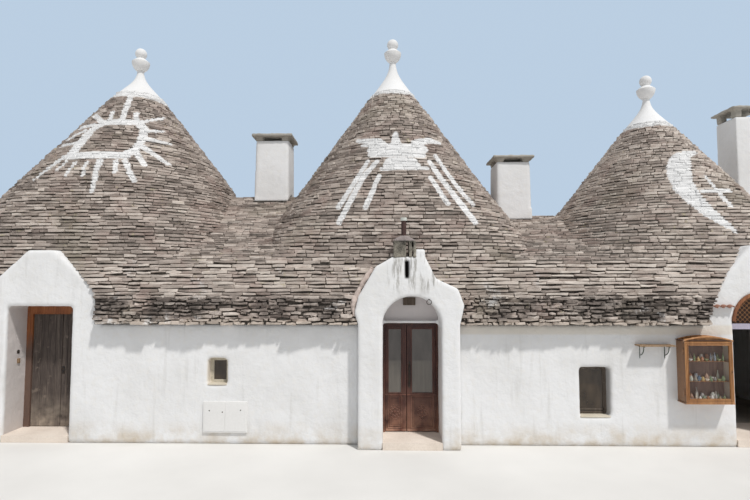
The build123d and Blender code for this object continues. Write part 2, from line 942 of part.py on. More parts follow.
for piece, name in (
    (floor, "floor"),
    (thresholds, "thresholds"),
    (front_wall_far_left, "front_wall_far_left"),
    (front_wall_left, "front_wall_left"),
    (front_wall_right, "front_wall_right"),
    (front_wall_far_right, "front_wall_far_right"),
    (door_bay_pier_left, "door_bay_pier_left"),
    (door_bay_pier_right, "door_bay_pier_right"),
    (back_wall, "back_wall"),
    (end_wall_left, "end_wall_left"),
    (end_wall_right, "end_wall_right"),
    (cross_wall_left, "cross_wall_left"),
    (cross_wall_right, "cross_wall_right"),
    (left_gable, "left_gable"),
    (middle_gable, "middle_gable"),
    (right_gable, "right_gable"),
    (over_door_masonry, "over_door_masonry"),
    (roof_haunch_left, "roof_haunch_left"),
    (roof_haunch_middle, "roof_haunch_middle"),
    (roof_haunch_right, "roof_haunch_right"),
    (cone_left, "cone_left"),
    (cone_middle, "cone_middle"),
    (cone_right, "cone_right"),
    (left_saddle, "left_saddle"),
    (right_saddle, "right_saddle"),
    (pinnacle_left, "pinnacle_left"),
    (pinnacle_middle, "pinnacle_middle"),
    (pinnacle_right, "pinnacle_right"),
    (chimney_left, "chimney_left"),
    (chimney_middle, "chimney_middle"),
    (chimney_right, "chimney_right"),
    (chimney_slabs, "chimney_slabs"),
    (left_door_frame, "left_door_frame"),
    (left_door_leaf_left, "left_door_leaf_left"),
    (left_door_leaf_right, "left_door_leaf_right"),
    (middle_door_frame, "middle_door_frame"),
    (middle_door_leaf_left, "middle_door_leaf_left"),
    (middle_door_glass_left, "middle_door_glass_left"),
    (middle_door_leaf_right, "middle_door_leaf_right"),
    (middle_door_glass_right, "middle_door_glass_right"),
    (window_frames, "window_frames"),
    (window_glass, "window_glass"),
    (shop_lintel, "shop_lintel"),
    (gable_crest, "gable_crest"),
    (vent_pipe, "vent_pipe"),
    (display_case, "display_case"),
    (display_case_door, "display_case_door"),
    (display_case_glass, "display_case_glass"),
    (wall_shelf, "wall_shelf"),
    (meter_cabinet, "meter_cabinet"),
):
    save(piece, name)
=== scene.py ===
import math
import random

import bmesh
import bpy
import numpy as np
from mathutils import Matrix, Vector, noise


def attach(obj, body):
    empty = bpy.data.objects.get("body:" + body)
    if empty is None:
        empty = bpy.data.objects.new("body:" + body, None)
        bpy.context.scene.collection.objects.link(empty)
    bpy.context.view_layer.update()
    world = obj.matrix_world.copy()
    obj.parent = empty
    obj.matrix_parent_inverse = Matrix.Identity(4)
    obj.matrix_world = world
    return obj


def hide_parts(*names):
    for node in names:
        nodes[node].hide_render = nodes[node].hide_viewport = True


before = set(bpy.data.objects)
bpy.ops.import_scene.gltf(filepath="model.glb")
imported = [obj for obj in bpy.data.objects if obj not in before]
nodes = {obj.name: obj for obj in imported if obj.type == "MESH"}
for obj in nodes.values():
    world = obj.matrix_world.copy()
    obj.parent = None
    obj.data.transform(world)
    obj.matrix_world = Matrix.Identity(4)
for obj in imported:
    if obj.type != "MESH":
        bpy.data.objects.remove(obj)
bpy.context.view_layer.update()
scene = bpy.context.scene
print("trullo: frame loaded")


# Plan of the house in metres, as the CAD has it

house = {
    "frontY": -3.2,
    "bayY": -3.48,
    "leftConeX": -6.43,
    "rightConeX": 6.31,
    "wallTop": 2.15,
}


# Small helpers for node trees

def addNode(tree, kind, **settings):
    node = tree.nodes.new(kind)
    for key, value in settings.items():
        setattr(node, key, value)
    return node


def join(tree, source, target):
    tree.links.new(source, target)


def newMaterial(name, roughness=0.8, specular=0.3):
    material = bpy.data.materials.new(name)
    material.use_nodes = True
    tree = material.node_tree
    shader = tree.nodes["Principled BSDF"]
    shader.inputs["Roughness"].default_value = roughness
    shader.inputs["Specular IOR Level"].default_value = specular
    return material, tree, shader


def objectPoint(tree, scale=(1, 1, 1), turn=(0, 0, 0)):
    # Object coordinates, stretched where a grain needs it
    source = addNode(tree, "ShaderNodeTexCoord")
    mapping = addNode(tree, "ShaderNodeMapping")
    mapping.inputs["Scale"].default_value = scale
    mapping.inputs["Rotation"].default_value = turn
    join(tree, source.outputs["Object"], mapping.inputs["Vector"])
    return mapping.outputs["Vector"]


def noiseOf(tree, point, scale, detail=3.0, roughness=0.55, distortion=0.0):
    node = addNode(tree, "ShaderNodeTexNoise")
    node.inputs["Scale"].default_value = scale
    node.inputs["Detail"].default_value = detail
    node.inputs["Roughness"].default_value = roughness
    node.inputs["Distortion"].default_value = distortion
    join(tree, point, node.inputs["Vector"])
    return node.outputs["Fac"]


def calc(tree, operation, first, second=0.0, third=None, clamp=False):
    node = addNode(tree, "ShaderNodeMath", operation=operation, use_clamp=clamp)
    for slot, value in enumerate((first, second, third)):
        if value is None:
            continue
        if isinstance(value, (int, float)):
            node.inputs[slot].default_value = value
        else:
            join(tree, value, node.inputs[slot])
    return node.outputs[0]


def spread(tree, value, low, high, toLow=0.0, toHigh=1.0, smooth=False):
    node = addNode(tree, "ShaderNodeMapRange", clamp=True)
    if smooth:
        node.interpolation_type = "SMOOTHSTEP"
    join(tree, value, node.inputs["Value"])
    for name, number in (("From Min", low), ("From Max", high), ("To Min", toLow), ("To Max", toHigh)):
        node.inputs[name].default_value = number
    return node.outputs["Result"]


def rampOf(tree, factor, stops):
    node = addNode(tree, "ShaderNodeValToRGB")
    band = node.color_ramp
    while len(band.elements) < len(stops):
        band.elements.new(0.5)
    for element, (place, colour) in zip(band.elements, stops):
        element.position = place
        element.color = (*colour, 1)
    join(tree, factor, node.inputs["Fac"])
    return node.outputs["Color"]


def blendColours(tree, factor, first, second, mode="MIX"):
    node = addNode(tree, "ShaderNodeMix", data_type="RGBA", blend_type=mode)
    for slot, value in ((0, factor), (6, first), (7, second)):
        if isinstance(value, (int, float)):
            node.inputs[slot].default_value = value
        elif isinstance(value, tuple):
            node.inputs[slot].default_value = (*value, 1)
        else:
            join(tree, value, node.inputs[slot])
    return node.outputs[2]


def bumpTo(tree, shader, layers):
    # Heights in metres, one bump on another
    previous = None
    for height, distance in layers:
        node = addNode(tree, "ShaderNodeBump")
        node.inputs["Strength"].default_value = 1.0
        node.inputs["Distance"].default_value = distance
        join(tree, height, node.inputs["Height"])
        if previous:
            join(tree, previous, node.inputs["Normal"])
        previous = node.outputs["Normal"]
    join(tree, previous, shader.inputs["Normal"])


def splitPoint(tree, point):
    node = addNode(tree, "ShaderNodeSeparateXYZ")
    join(tree, point, node.inputs["Vector"])
    return node.outputs["X"], node.outputs["Y"], node.outputs["Z"]


def boxMask(tree, point, low, high, soft=0.02):
    # 1 inside a box between two corners, fading out over its sides
    mask = None
    for value, start, end in zip(splitPoint(tree, point), low, high):
        inside = calc(
            tree, "MULTIPLY",
            spread(tree, value, start - soft, start + soft), spread(tree, value, end - soft, end + soft, 1.0, 0.0),
        )
        mask = inside if mask is None else calc(tree, "MULTIPLY", mask, inside)
    return mask


# Painted signs on the cones: x from the cone's axis and height of both ends of each
# brush stroke, then its half width at both ends

roofSigns = {
    "left": (
        (-0.12, 6.50, 0.58, 6.55, 0.085, 0.08),
        (0.58, 6.55, 0.75, 6.38, 0.08, 0.075),
        (0.75, 6.38, 0.81, 6.06, 0.075, 0.07),
        (0.81, 6.06, 0.81, 5.78, 0.07, 0.08),
        (0.81, 5.78, 0.68, 5.63, 0.085, 0.10),
        (0.72, 5.60, -0.46, 5.56, 0.09, 0.088),
        (-0.45, 5.63, -0.39, 6.01, 0.12, 0.12),
        (-0.39, 6.01, -0.29, 6.38, 0.12, 0.10),
        (-0.29, 6.38, -0.10, 6.50, 0.10, 0.085),
        (0.09, 7.50, 0.20, 6.80, 0.064, 0.058),
        (0.20, 6.80, 0.25, 6.52, 0.058, 0.058),
        (-0.08, 6.83, -0.01, 6.53, 0.048, 0.058),
        (-0.57, 6.81, -0.14, 6.49, 0.058, 0.062),
        (0.43, 6.83, 0.53, 6.59, 0.042, 0.055),
        (0.90, 6.84, 0.62, 6.54, 0.033, 0.055),
        (1.04, 6.41, 0.76, 6.30, 0.038, 0.058),
        (1.29, 6.07, 0.80, 6.12, 0.03, 0.055),
        (1.48, 5.48, 0.90, 5.88, 0.03, 0.052),
        (1.10, 5.40, 0.86, 5.69, 0.04, 0.055),
        (1.06, 4.99, 0.74, 5.47, 0.042, 0.05),
        (0.665, 5.17, 0.585, 5.45, 0.038, 0.045),
        (0.355, 4.73, 0.29, 5.44, 0.048, 0.058),
        (0.05, 5.08, 0.05, 5.38, 0.034, 0.042),
        (-0.28, 5.08, -0.20, 5.38, 0.03, 0.038),
        (-0.55, 5.21, -0.43, 5.42, 0.026, 0.04),
        (-1.04, 5.02, -0.58, 5.55, 0.034, 0.072),
        (-0.94, 5.91, -0.50, 5.94, 0.042, 0.054),
        (-0.91, 6.10, -0.51, 6.29, 0.052, 0.058),
        (-0.78, 6.42, -0.38, 6.46, 0.042, 0.058),
    ),
    "middle": (
        (0.04, 6.18, 0.04, 5.88, 0.055, 0.115),
        (-0.79, 6.04, -0.32, 5.97, 0.06, 0.08),
        (-0.32, 5.95, -0.19, 5.85, 0.08, 0.08),
        (-0.69, 5.90, -0.38, 5.87, 0.045, 0.065),
        (-0.45, 5.77, 0.61, 5.78, 0.13, 0.13),
        (-0.48, 5.64, 0.59, 5.64, 0.095, 0.095),
        (0.46, 5.93, 0.78, 6.05, 0.09, 0.085),
        (0.78, 6.05, 1.03, 6.04, 0.08, 0.045),
        (-0.09, 5.43, 0.38, 5.43, 0.11, 0.11),
        (-0.16, 5.33, 0.47, 5.34, 0.08, 0.08),
        (-0.26, 5.25, 0.69, 5.28, 0.045, 0.045),
        (-0.56, 5.46, -1.12, 4.39, 0.045, 0.05),
        (-0.37, 5.44, -0.66, 5.05, 0.05, 0.058),
        (-0.66, 5.05, -1.09, 4.06, 0.058, 0.055),
        (-0.32, 5.09, -0.58, 4.38, 0.045, 0.055),
        (0.75, 5.46, 0.98, 5.02, 0.055, 0.06),
        (0.98, 5.02, 1.56, 4.08, 0.06, 0.065),
        (0.90, 5.64, 1.28, 4.91, 0.047, 0.055),
        (1.28, 4.91, 1.58, 4.47, 0.055, 0.045),
        (0.74, 5.05, 1.05, 4.46, 0.048, 0.05),
    ),
    "right": (
        (0.49, 5.82, 0.19, 5.74, 0.045, 0.10),
        (0.04, 5.62, -0.07, 5.50, 0.17, 0.21),
        (-0.07, 5.50, -0.18, 5.30, 0.21, 0.225),
        (-0.18, 5.30, -0.25, 5.10, 0.225, 0.225),
        (-0.25, 5.10, -0.28, 4.83, 0.225, 0.22),
        (-0.28, 4.83, -0.23, 4.59, 0.22, 0.19),
        (-0.23, 4.59, -0.14, 4.36, 0.19, 0.17),
        (-0.14, 4.36, -0.01, 4.17, 0.17, 0.125),
        (-0.01, 4.17, 0.10, 4.02, 0.125, 0.085),
        (0.10, 4.02, 0.20, 3.86, 0.085, 0.03),
        (0.30, 5.14, 0.42, 4.45, 0.04, 0.055),
        (0.01, 4.77, 0.70, 4.81, 0.045, 0.045),
    ),
}


def buildStrokeGroup():
    # Distance from a point to one tapering brush stroke
    group = bpy.data.node_groups.new("brushStroke", "ShaderNodeTree")
    for name, kind in (
        ("Point", "NodeSocketVector"),
        ("Start", "NodeSocketVector"),
        ("Run", "NodeSocketVector"),
        ("Half Width", "NodeSocketFloat"),
        ("Taper", "NodeSocketFloat"),
    ):
        group.interface.new_socket(name, in_out="INPUT", socket_type=kind)
    group.interface.new_socket("Distance", in_out="OUTPUT", socket_type="NodeSocketFloat")
    source = addNode(group, "NodeGroupInput")
    target = addNode(group, "NodeGroupOutput")

    def vectorStep(operation, first, second=None, scale=None):
        node = addNode(group, "ShaderNodeVectorMath", operation=operation)
        join(group, first, node.inputs[0])
        if second is not None:
            join(group, second, node.inputs[1])
        if scale is not None:
            join(group, scale, node.inputs["Scale"])
        return node

    point, start, run, half, taper = [source.outputs[i] for i in range(5)]
    offset = vectorStep("SUBTRACT", point, start).outputs["Vector"]
    along = vectorStep("DOT_PRODUCT", offset, run).outputs["Value"]
    whole = vectorStep("DOT_PRODUCT", run, run).outputs["Value"]
    share = calc(group, "DIVIDE", along, whole, clamp=True)
    foot = vectorStep("SCALE", run, scale=share).outputs["Vector"]
    gap = vectorStep("SUBTRACT", offset, foot).outputs["Vector"]
    length = vectorStep("LENGTH", gap).outputs["Value"]
    reach = calc(group, "MULTIPLY_ADD", share, taper, half)
    join(group, calc(group, "SUBTRACT", length, reach), target.inputs["Distance"])
    return group


strokeGroup = buildStrokeGroup()


def signMask(tree, point, coneX, strokes):
    # 1 where the brush passed, on the front of the cone only
    wobble = addNode(tree, "ShaderNodeTexNoise")
    wobble.inputs["Scale"].default_value = 7.0
    wobble.inputs["Detail"].default_value = 2.0
    join(tree, point, wobble.inputs["Vector"])
    x, y, z = splitPoint(tree, point)
    shiftX = calc(tree, "MULTIPLY_ADD", wobble.outputs["Fac"], 0.05, -coneX - 0.025)
    flat = addNode(tree, "ShaderNodeCombineXYZ")
    join(tree, calc(tree, "ADD", x, shiftX), flat.inputs["X"])
    join(tree, z, flat.inputs["Z"])
    nearest = None
    for x1, z1, x2, z2, half1, half2 in strokes:
        node = addNode(tree, "ShaderNodeGroup", node_tree=strokeGroup)
        join(tree, flat.outputs["Vector"], node.inputs["Point"])
        node.inputs["Start"].default_value = (x1, 0, z1)
        node.inputs["Run"].default_value = (x2 - x1, 0, z2 - z1)
        node.inputs["Half Width"].default_value = half1
        node.inputs["Taper"].default_value = half2 - half1
        distance = node.outputs["Distance"]
        nearest = distance if nearest is None else calc(tree, "MINIMUM", nearest, distance)
    edge = noiseOf(tree, point, 22.0, 2.0)
    nearest = calc(tree, "MULTIPLY_ADD", edge, 0.03, calc(tree, "SUBTRACT", nearest, 0.015))
    painted = spread(tree, nearest, -0.006, 0.01, 1.0, 0.0)
    front = spread(tree, y, -0.2, -0.1, 1.0, 0.0)
    return calc(tree, "MULTIPLY", painted, front)


# Finishes

limeColours = {
    "bright": (0.815, 0.82, 0.83),
    "shade": (0.735, 0.735, 0.735),
    "warm": (0.79, 0.77, 0.73),
    "stain": (0.56, 0.47, 0.35),
    "damp": (0.50, 0.49, 0.46),
    # Painted shade, lilac-grey like shaded lime, for the doorway reveals
    "revealShade": (0.60, 0.55, 0.53),
    # Painted shade, grey-lilac, for the tympanum in the middle arch's shadow
    "tympanumShade": (0.62, 0.57, 0.565),
    "cream": (0.72, 0.64, 0.52),
    # Painted shade, dim grey, for the right window's shaded right reveal
    "dimShade": (0.36, 0.35, 0.345),
    "drip": (0.36, 0.35, 0.33),
    # Painted shade, near black, for the narrow slit in the middle gable
    "slitShade": (0.012, 0.011, 0.010),
}

# Places on the front that are tinted otherwise: colour, low corner, high corner, strength. The doorway reveals, the
# tympanum, the right window's reveal and the gable's slit get painted shade; the cream ones are the plaster's own
# colour.
frontMarks = (
    # Painted shade in the reveals of the old door, the glazed door's bay and the shop door
    ("revealShade", (-7.22, -3.14, 0.0), (-5.95, -2.0, 2.50), 0.85),
    ("revealShade", (-0.27, -3.42, 0.0), (0.82, -2.75, 2.10), 0.55),
    ("revealShade", (6.02, -3.14, 0.0), (7.10, -2.0, 2.90), 0.7),
    # Painted shade on the tympanum under the middle arch
    ("tympanumShade", (-0.27, -2.93, 2.10), (0.82, -2.60, 2.95), 0.8),
    ("cream", (1.15, -3.3, 1.97), (6.2, -3.1, 2.14), 0.5),
    ("cream", (-3.46, -3.18, 1.03), (-3.04, -2.9, 1.55), 0.75),
    # Painted shade on the right window's right reveal
    ("dimShade", (3.78, -3.18, 0.50), (3.92, -2.9, 1.41), 0.85),
    # Painted shade filling the slit in the middle gable
    ("slitShade", (0.15, -3.52, 2.975), (0.23, -3.3, 3.29), 1.0),
)


def limewash(name, stainTop=0.42, waviness=1.0, dirt=0.35, marks=()):
    material, tree, shader = newMaterial(name, 0.92, 0.15)
    point = objectPoint(tree)
    broad = noiseOf(tree, point, 0.8, 4.0)
    fine = noiseOf(tree, point, 9.0, 5.0, 0.6)
    base = rampOf(tree, broad, ((0.3, limeColours["shade"]), (0.55, limeColours["bright"])))
    base = blendColours(tree, spread(tree, fine, 0.5, 0.75, 0, 0.45), base, limeColours["warm"])
    x, y, z = splitPoint(tree, point)
    low = spread(tree, z, stainTop, 0.0)
    splash = calc(tree, "MULTIPLY", low, spread(tree, noiseOf(tree, point, 3.5, 5.0), 0.35, 0.7))
    base = blendColours(tree, splash, base, limeColours["stain"])
    runs = noiseOf(tree, objectPoint(tree, (5.0, 5.0, 0.5)), 1.6, 4.0)
    streak = spread(tree, runs, 0.58, 0.78, 0, dirt)
    base = blendColours(tree, streak, base, limeColours["damp"])
    if marks:
        drips = noiseOf(tree, objectPoint(tree, (10.0, 1.0, 1.4)), 1.5, 4.0, 0.65)
        drips = calc(tree, "MULTIPLY", spread(tree, drips, 0.49, 0.61, 0, 0.85), boxMask(
            tree, point, (-0.12, -3.6, 2.76), (0.76, -3.3, 3.40), 0.09
        ))
        base = blendColours(tree, drips, base, limeColours["drip"])
        # The marks lay painted shade in recesses and the cream tints of the plaster
        for colour, low, high, strength in marks:
            patch = calc(tree, "MULTIPLY", boxMask(tree, point, low, high), strength)
            base = blendColours(tree, patch, base, limeColours[colour])
    join(tree, base, shader.inputs["Base Color"])
    brush = noiseOf(tree, objectPoint(tree, (1.0, 1.0, 3.0)), 26.0, 3.0)
    bumpTo(tree, shader, (
        (noiseOf(tree, point, 3.0, 3.0), 0.02 * waviness),
        (noiseOf(tree, point, 14.0, 4.0), 0.006 * waviness),
        (brush, 0.0025),
    ))
    return material


stoneColours = {
    "dark": (0.075, 0.062, 0.055),
    "low": (0.19, 0.16, 0.142),
    "middle": (0.345, 0.295, 0.262),
    "high": (0.50, 0.435, 0.39),
    "pale": (0.68, 0.61, 0.55),
    "moss": (0.20, 0.185, 0.12),
    "lichen": (0.47, 0.43, 0.27),
    "rose": (0.41, 0.30, 0.265),
    "lime": (0.83, 0.83, 0.83),
    "eave": (0.60, 0.52, 0.45),
}


def limeRun(tree, point, colour, limeFrom):
    # Whitewash of the pinnacle, run down over the stones above limeFrom
    ragged = calc(tree, "MULTIPLY_ADD", noiseOf(tree, point, 5.0, 4.0, 0.6), 0.14, splitPoint(tree, point)[2])
    return blendColours(tree, spread(tree, ragged, limeFrom + 0.06, limeFrom + 0.09), colour, stoneColours["lime"])


def roofStone(name, tone=0.0, coneX=None, strokes=(), washed=0.0, mossy=0.35, limeFrom=None, sooty=0.0):
    # Weathered limestone, with a tone of its own for each stone. Above limeFrom the
    # whitewash of the pinnacle has run down over it.
    material, tree, shader = newMaterial(name, 0.93, 0.2)
    point = objectPoint(tree)
    own = addNode(tree, "ShaderNodeAttribute", attribute_name="tone")
    grain = noiseOf(tree, point, 38.0, 5.0, 0.65)
    mottle = noiseOf(tree, point, 6.0, 4.0)
    broad = noiseOf(tree, point, 0.7, 3.0)
    value = calc(tree, "MULTIPLY_ADD", own.outputs["Fac"], 0.62, tone)
    value = calc(tree, "MULTIPLY_ADD", grain, 0.35, value)
    value = calc(tree, "MULTIPLY_ADD", mottle, 0.3, value)
    colour = rampOf(tree, value, (
        (0.18, stoneColours["dark"]),
        (0.38, stoneColours["low"]),
        (0.55, stoneColours["middle"]),
        (0.75, stoneColours["high"]),
        (0.95, stoneColours["pale"]),
    ))
    moss = spread(tree, broad, 0.54, 0.72, 0, mossy)
    colour = blendColours(tree, moss, colour, stoneColours["moss"])
    rose = spread(tree, noiseOf(tree, point, 1.9, 2.0), 0.5, 0.72, 0, 0.45)
    colour = blendColours(tree, rose, colour, stoneColours["rose"])
    spots = spread(tree, noiseOf(tree, point, 8.5, 3.0, 0.6), 0.62, 0.7, 0, 0.55)
    spots = calc(tree, "MULTIPLY", spots, spread(tree, noiseOf(tree, point, 1.1, 2.0), 0.45, 0.6))
    colour = blendColours(tree, spots, colour, stoneColours["lichen"])
    if sooty:
        black = calc(tree, "MULTIPLY", spread(tree, noiseOf(tree, point, 1.7, 5.0, 0.65), 0.44, 0.58), sooty)
        colour = blendColours(tree, black, colour, stoneColours["dark"])
        low = spread(tree, splitPoint(tree, point)[2], 2.27, 2.21)
        colour = blendColours(tree, calc(tree, "MULTIPLY", low, 0.75), colour, stoneColours["eave"])
    if limeFrom:
        colour = limeRun(tree, point, colour, limeFrom)
    if washed:
        old = noiseOf(tree, point, 1.3, 5.0, 0.7)
        patch = calc(tree, "MULTIPLY", spread(tree, old, 0.6, 0.68, 0, washed), spread(tree, grain, 0.35, 0.6))
        colour = blendColours(tree, patch, colour, stoneColours["lime"])
    if strokes:
        mask = signMask(tree, point, coneX, strokes)
        patchy = spread(tree, grain, 0.28, 0.42, 0.75, 1.0)
        colour = blendColours(tree, calc(tree, "MULTIPLY", mask, patchy), colour, stoneColours["lime"])
    join(tree, colour, shader.inputs["Base Color"])
    bumpTo(tree, shader, ((mottle, 0.012), (grain, 0.004)))
    return material


def beddingStone(name, coneX=None, strokes=(), limeFrom=None):
    # The dark bed behind the slabs: its near-black tone is painted shade in the gaps between them. It is painted white
    # where a sign runs over it.
    material, tree, shader = newMaterial(name, 0.95, 0.1)
    point = objectPoint(tree)
    colour = rampOf(tree, noiseOf(tree, point, 11.0, 4.0), ((0.3, (0.035, 0.03, 0.026)), (0.7, (0.13, 0.115, 0.10))))
    if limeFrom:
        colour = limeRun(tree, point, colour, limeFrom)
    if strokes:
        colour = blendColours(tree, signMask(tree, point, coneX, strokes), colour, stoneColours["lime"])
    join(tree, colour, shader.inputs["Base Color"])
    bumpTo(tree, shader, ((noiseOf(tree, point, 20.0, 3.0), 0.01),))
    return material


def plainStone(name, low, high, scale=9.0, relief=0.006, capFrom=None, capColour=(0.5, 0.5, 0.5), reach=(0.3, 0.75)):
    # Above capFrom the stone has a second tone. A short reach parts light and dark sharply.
    material, tree, shader = newMaterial(name, 0.88, 0.25)
    point = objectPoint(tree)
    broad = noiseOf(tree, point, scale * 0.25, 4.0)
    fine = noiseOf(tree, point, scale * 5, 4.0, 0.65)
    value = calc(tree, "MULTIPLY_ADD", fine, 0.45, calc(tree, "MULTIPLY", broad, 0.6))
    colour = rampOf(tree, value, ((reach[0], low), (reach[1], high)))
    if capFrom:
        cap = spread(tree, splitPoint(tree, point)[2], capFrom, capFrom + 0.02, 0, 0.85)
        colour = blendColours(tree, cap, colour, capColour)
    join(tree, colour, shader.inputs["Base Color"])
    bumpTo(tree, shader, ((noiseOf(tree, point, scale, 4.0), relief), (fine, relief * 0.35)))
    return material


def grainedWood(name, dark, mid, light, gloss=0.5, wear=None, wearColour=(0.5, 0.45, 0.4), dust=None, bareAndSunlitLow=None):
    # Upright grain. Wear is the share of rubbed spots, dust the height up to which it lies, and the last argument two
    # heights and the colour that comes in below them: bare wood where the finish has gone on the old door frame,
    # painted sunlight on the lower part of the glazed door and its mouldings.
    material, tree, shader = newMaterial(name, gloss, 0.35)
    point = objectPoint(tree)
    long = objectPoint(tree, (1.0, 1.0, 0.07))
    fibre = noiseOf(tree, long, 95.0, 5.0, 0.6, 0.6)
    broad = noiseOf(tree, long, 12.0, 3.0, 0.5, 1.2)
    value = calc(tree, "MULTIPLY_ADD", fibre, 0.5, calc(tree, "MULTIPLY", broad, 0.5))
    colour = rampOf(tree, value, ((0.32, dark), (0.5, mid), (0.68, light)))
    if wear:
        spots = spread(tree, noiseOf(tree, point, 7.0, 5.0, 0.65), 0.66 - wear, 0.74 - wear)
        colour = blendColours(tree, spots, colour, wearColour)
    # Below the given heights: bare wood on the old frame, painted sunlight on the glazed door
    if bareAndSunlitLow:
        low, top, lowTint = bareAndSunlitLow
        ragged = calc(tree, "MULTIPLY_ADD", broad, 0.5, splitPoint(tree, point)[2])
        colour = blendColours(tree, spread(tree, ragged, top + 0.25, low + 0.25, 0, 0.85), colour, lowTint)
    if dust:
        x, y, z = splitPoint(tree, point)
        low, top, dustColour = dust
        layer = calc(tree, "MULTIPLY", spread(tree, z, top, low), spread(tree, noiseOf(tree, point, 5.0, 4.0), 0.3, 0.62))
        colour = blendColours(tree, layer, colour, dustColour)
    join(tree, colour, shader.inputs["Base Color"])
    bumpTo(tree, shader, ((broad, 0.0015), (fibre, 0.0009)))
    return material


def forgedIron(name, colour=(0.05, 0.045, 0.042), rust=0.5):
    material, tree, shader = newMaterial(name, 0.62, 0.4)
    shader.inputs["Metallic"].default_value = 0.75
    point = objectPoint(tree)
    spots = noiseOf(tree, point, 24.0, 5.0, 0.7)
    tint = blendColours(tree, spread(tree, spots, 0.48, 0.68, 0, rust), colour, (0.20, 0.095, 0.045))
    join(tree, tint, shader.inputs["Base Color"])
    bumpTo(tree, shader, ((spots, 0.0015),))
    return material


def paneGlass(name, colour, mottle, rough=0.12, curtain=None, coat=0.6):
    # Panes that read as one dark tone from the street: their dark colour is painted shade of the unlit rooms behind,
    # with a pale curtain hung low behind some of them
    material, tree, shader = newMaterial(name, rough, 0.5)
    point = objectPoint(tree, (1.0, 1.0, 0.35))
    cloud = noiseOf(tree, point, 5.0, 3.0)
    tint = rampOf(tree, cloud, ((0.35, colour), (0.65, mottle)))
    if curtain:
        low, high, cloth = curtain
        x, y, z = splitPoint(tree, objectPoint(tree))
        folds = noiseOf(tree, objectPoint(tree, (1.0, 1.0, 0.04)), 26.0, 2.0)
        veil = calc(tree, "MULTIPLY", spread(tree, z, high, high - 0.04), spread(tree, folds, 0.3, 0.7, 0.55, 1.0))
        tint = blendColours(tree, veil, tint, cloth)
    join(tree, tint, shader.inputs["Base Color"])
    shader.inputs["Coat Weight"].default_value = coat
    shader.inputs["Coat Roughness"].default_value = 0.03
    return material


def paintWest(material, edge, paint, soft=0.1):
    # Lays a colour over everything west of an edge, in patches: cream paint on the left window's wood, painted shade on
    # the display case's left side
    tree = material.node_tree
    shader = tree.nodes["Principled BSDF"]
    below = shader.inputs["Base Color"].links[0].from_socket
    point = objectPoint(tree)
    patchy = spread(tree, noiseOf(tree, point, 30.0, 4.0, 0.6), 0.3, 0.5, 0.6, 1.0)
    west = spread(tree, splitPoint(tree, point)[0], edge, edge - soft)
    join(tree, blendColours(tree, calc(tree, "MULTIPLY", west, patchy), below, paint), shader.inputs["Base Color"])


wallLime = limewash("wallLime")
frontLime = limewash("frontLime", marks=frontMarks)
gableLime = limewash("gableLime", dirt=0.2)
pinnacleLime = limewash("pinnacleLime", stainTop=0.0, waviness=0.5, dirt=0.25)
chimneyLime = limewash("chimneyLime", stainTop=0.0, waviness=0.7, dirt=0.12)
limeEdge = {"left": 7.35, "middle": 7.41, "right": 6.59}
# The right cone's and the saddles' stones get a lighter tone than the other cones', painted light lifting the shade
# their slopes take
stoneLeft = roofStone("roofStoneLeft", 0.03, house["leftConeX"], roofSigns["left"], limeFrom=limeEdge["left"])
stoneMiddle = roofStone("roofStoneMiddle", 0.04, 0.0, roofSigns["middle"], limeFrom=limeEdge["middle"])
stoneRight = roofStone("roofStoneRight", 0.17, house["rightConeX"], roofSigns["right"], limeFrom=limeEdge["right"])
stoneSaddle = roofStone("roofStoneSaddle", 0.05)
stoneHaunch = roofStone("roofStoneHaunch", 0.10, washed=0.5)
stoneEave = roofStone("roofStoneEave", 0.0, washed=0.9, mossy=0.6, sooty=0.75)
# Near-black beds: painted shade in the gaps between the slabs
darkBed = beddingStone("darkBed")
bedLeft = beddingStone("bedLeft", house["leftConeX"], roofSigns["left"], limeEdge["left"])
bedMiddle = beddingStone("bedMiddle", 0.0, roofSigns["middle"], limeEdge["middle"])
bedRight = beddingStone("bedRight", house["rightConeX"], roofSigns["right"], limeEdge["right"])
floorStone = plainStone("floorStone", (0.30, 0.27, 0.23), (0.52, 0.47, 0.40))
thresholdStone = plainStone("thresholdStone", (0.66, 0.57, 0.49), (0.90, 0.81, 0.72))
slabStone = plainStone("slabStone", (0.26, 0.25, 0.22), (0.52, 0.49, 0.44))
crestStone = plainStone(
    "crestStone", (0.025, 0.024, 0.021), (0.36, 0.33, 0.275), 16.0, 0.02, 3.64, (0.36, 0.31, 0.30), (0.42, 0.64),
)
lilacPlaster = plainStone("lilacPlaster", (0.36, 0.33, 0.42), (0.55, 0.52, 0.62), 7.0, 0.003)
cabinetWhite = plainStone("cabinetWhite", (0.73, 0.725, 0.715), (0.83, 0.825, 0.815), 5.0, 0.0015)
sillStone = plainStone("sillStone", (0.52, 0.46, 0.36), (0.78, 0.72, 0.61), 8.0, 0.003)
tileClay = plainStone("tileClay", (0.23, 0.11, 0.08), (0.42, 0.23, 0.165), 12.0, 0.003)
oldPlank = grainedWood(
    "oldPlank", (0.035, 0.027, 0.024), (0.082, 0.064, 0.055), (0.15, 0.12, 0.10), 0.8, 0.05, (0.17, 0.135, 0.11),
    (0.13, 0.75, (0.37, 0.31, 0.25)),
)
orangeFrameWood = grainedWood(
    "orangeFrameWood", (0.13, 0.04, 0.016), (0.29, 0.10, 0.036), (0.41, 0.17, 0.07), 0.6, 0.05, (0.20, 0.13, 0.09),
    None, (1.55, 1.95, (0.115, 0.085, 0.072)),
)
archWood = grainedWood("archWood", (0.13, 0.045, 0.02), (0.27, 0.105, 0.045), (0.38, 0.18, 0.08), 0.6)
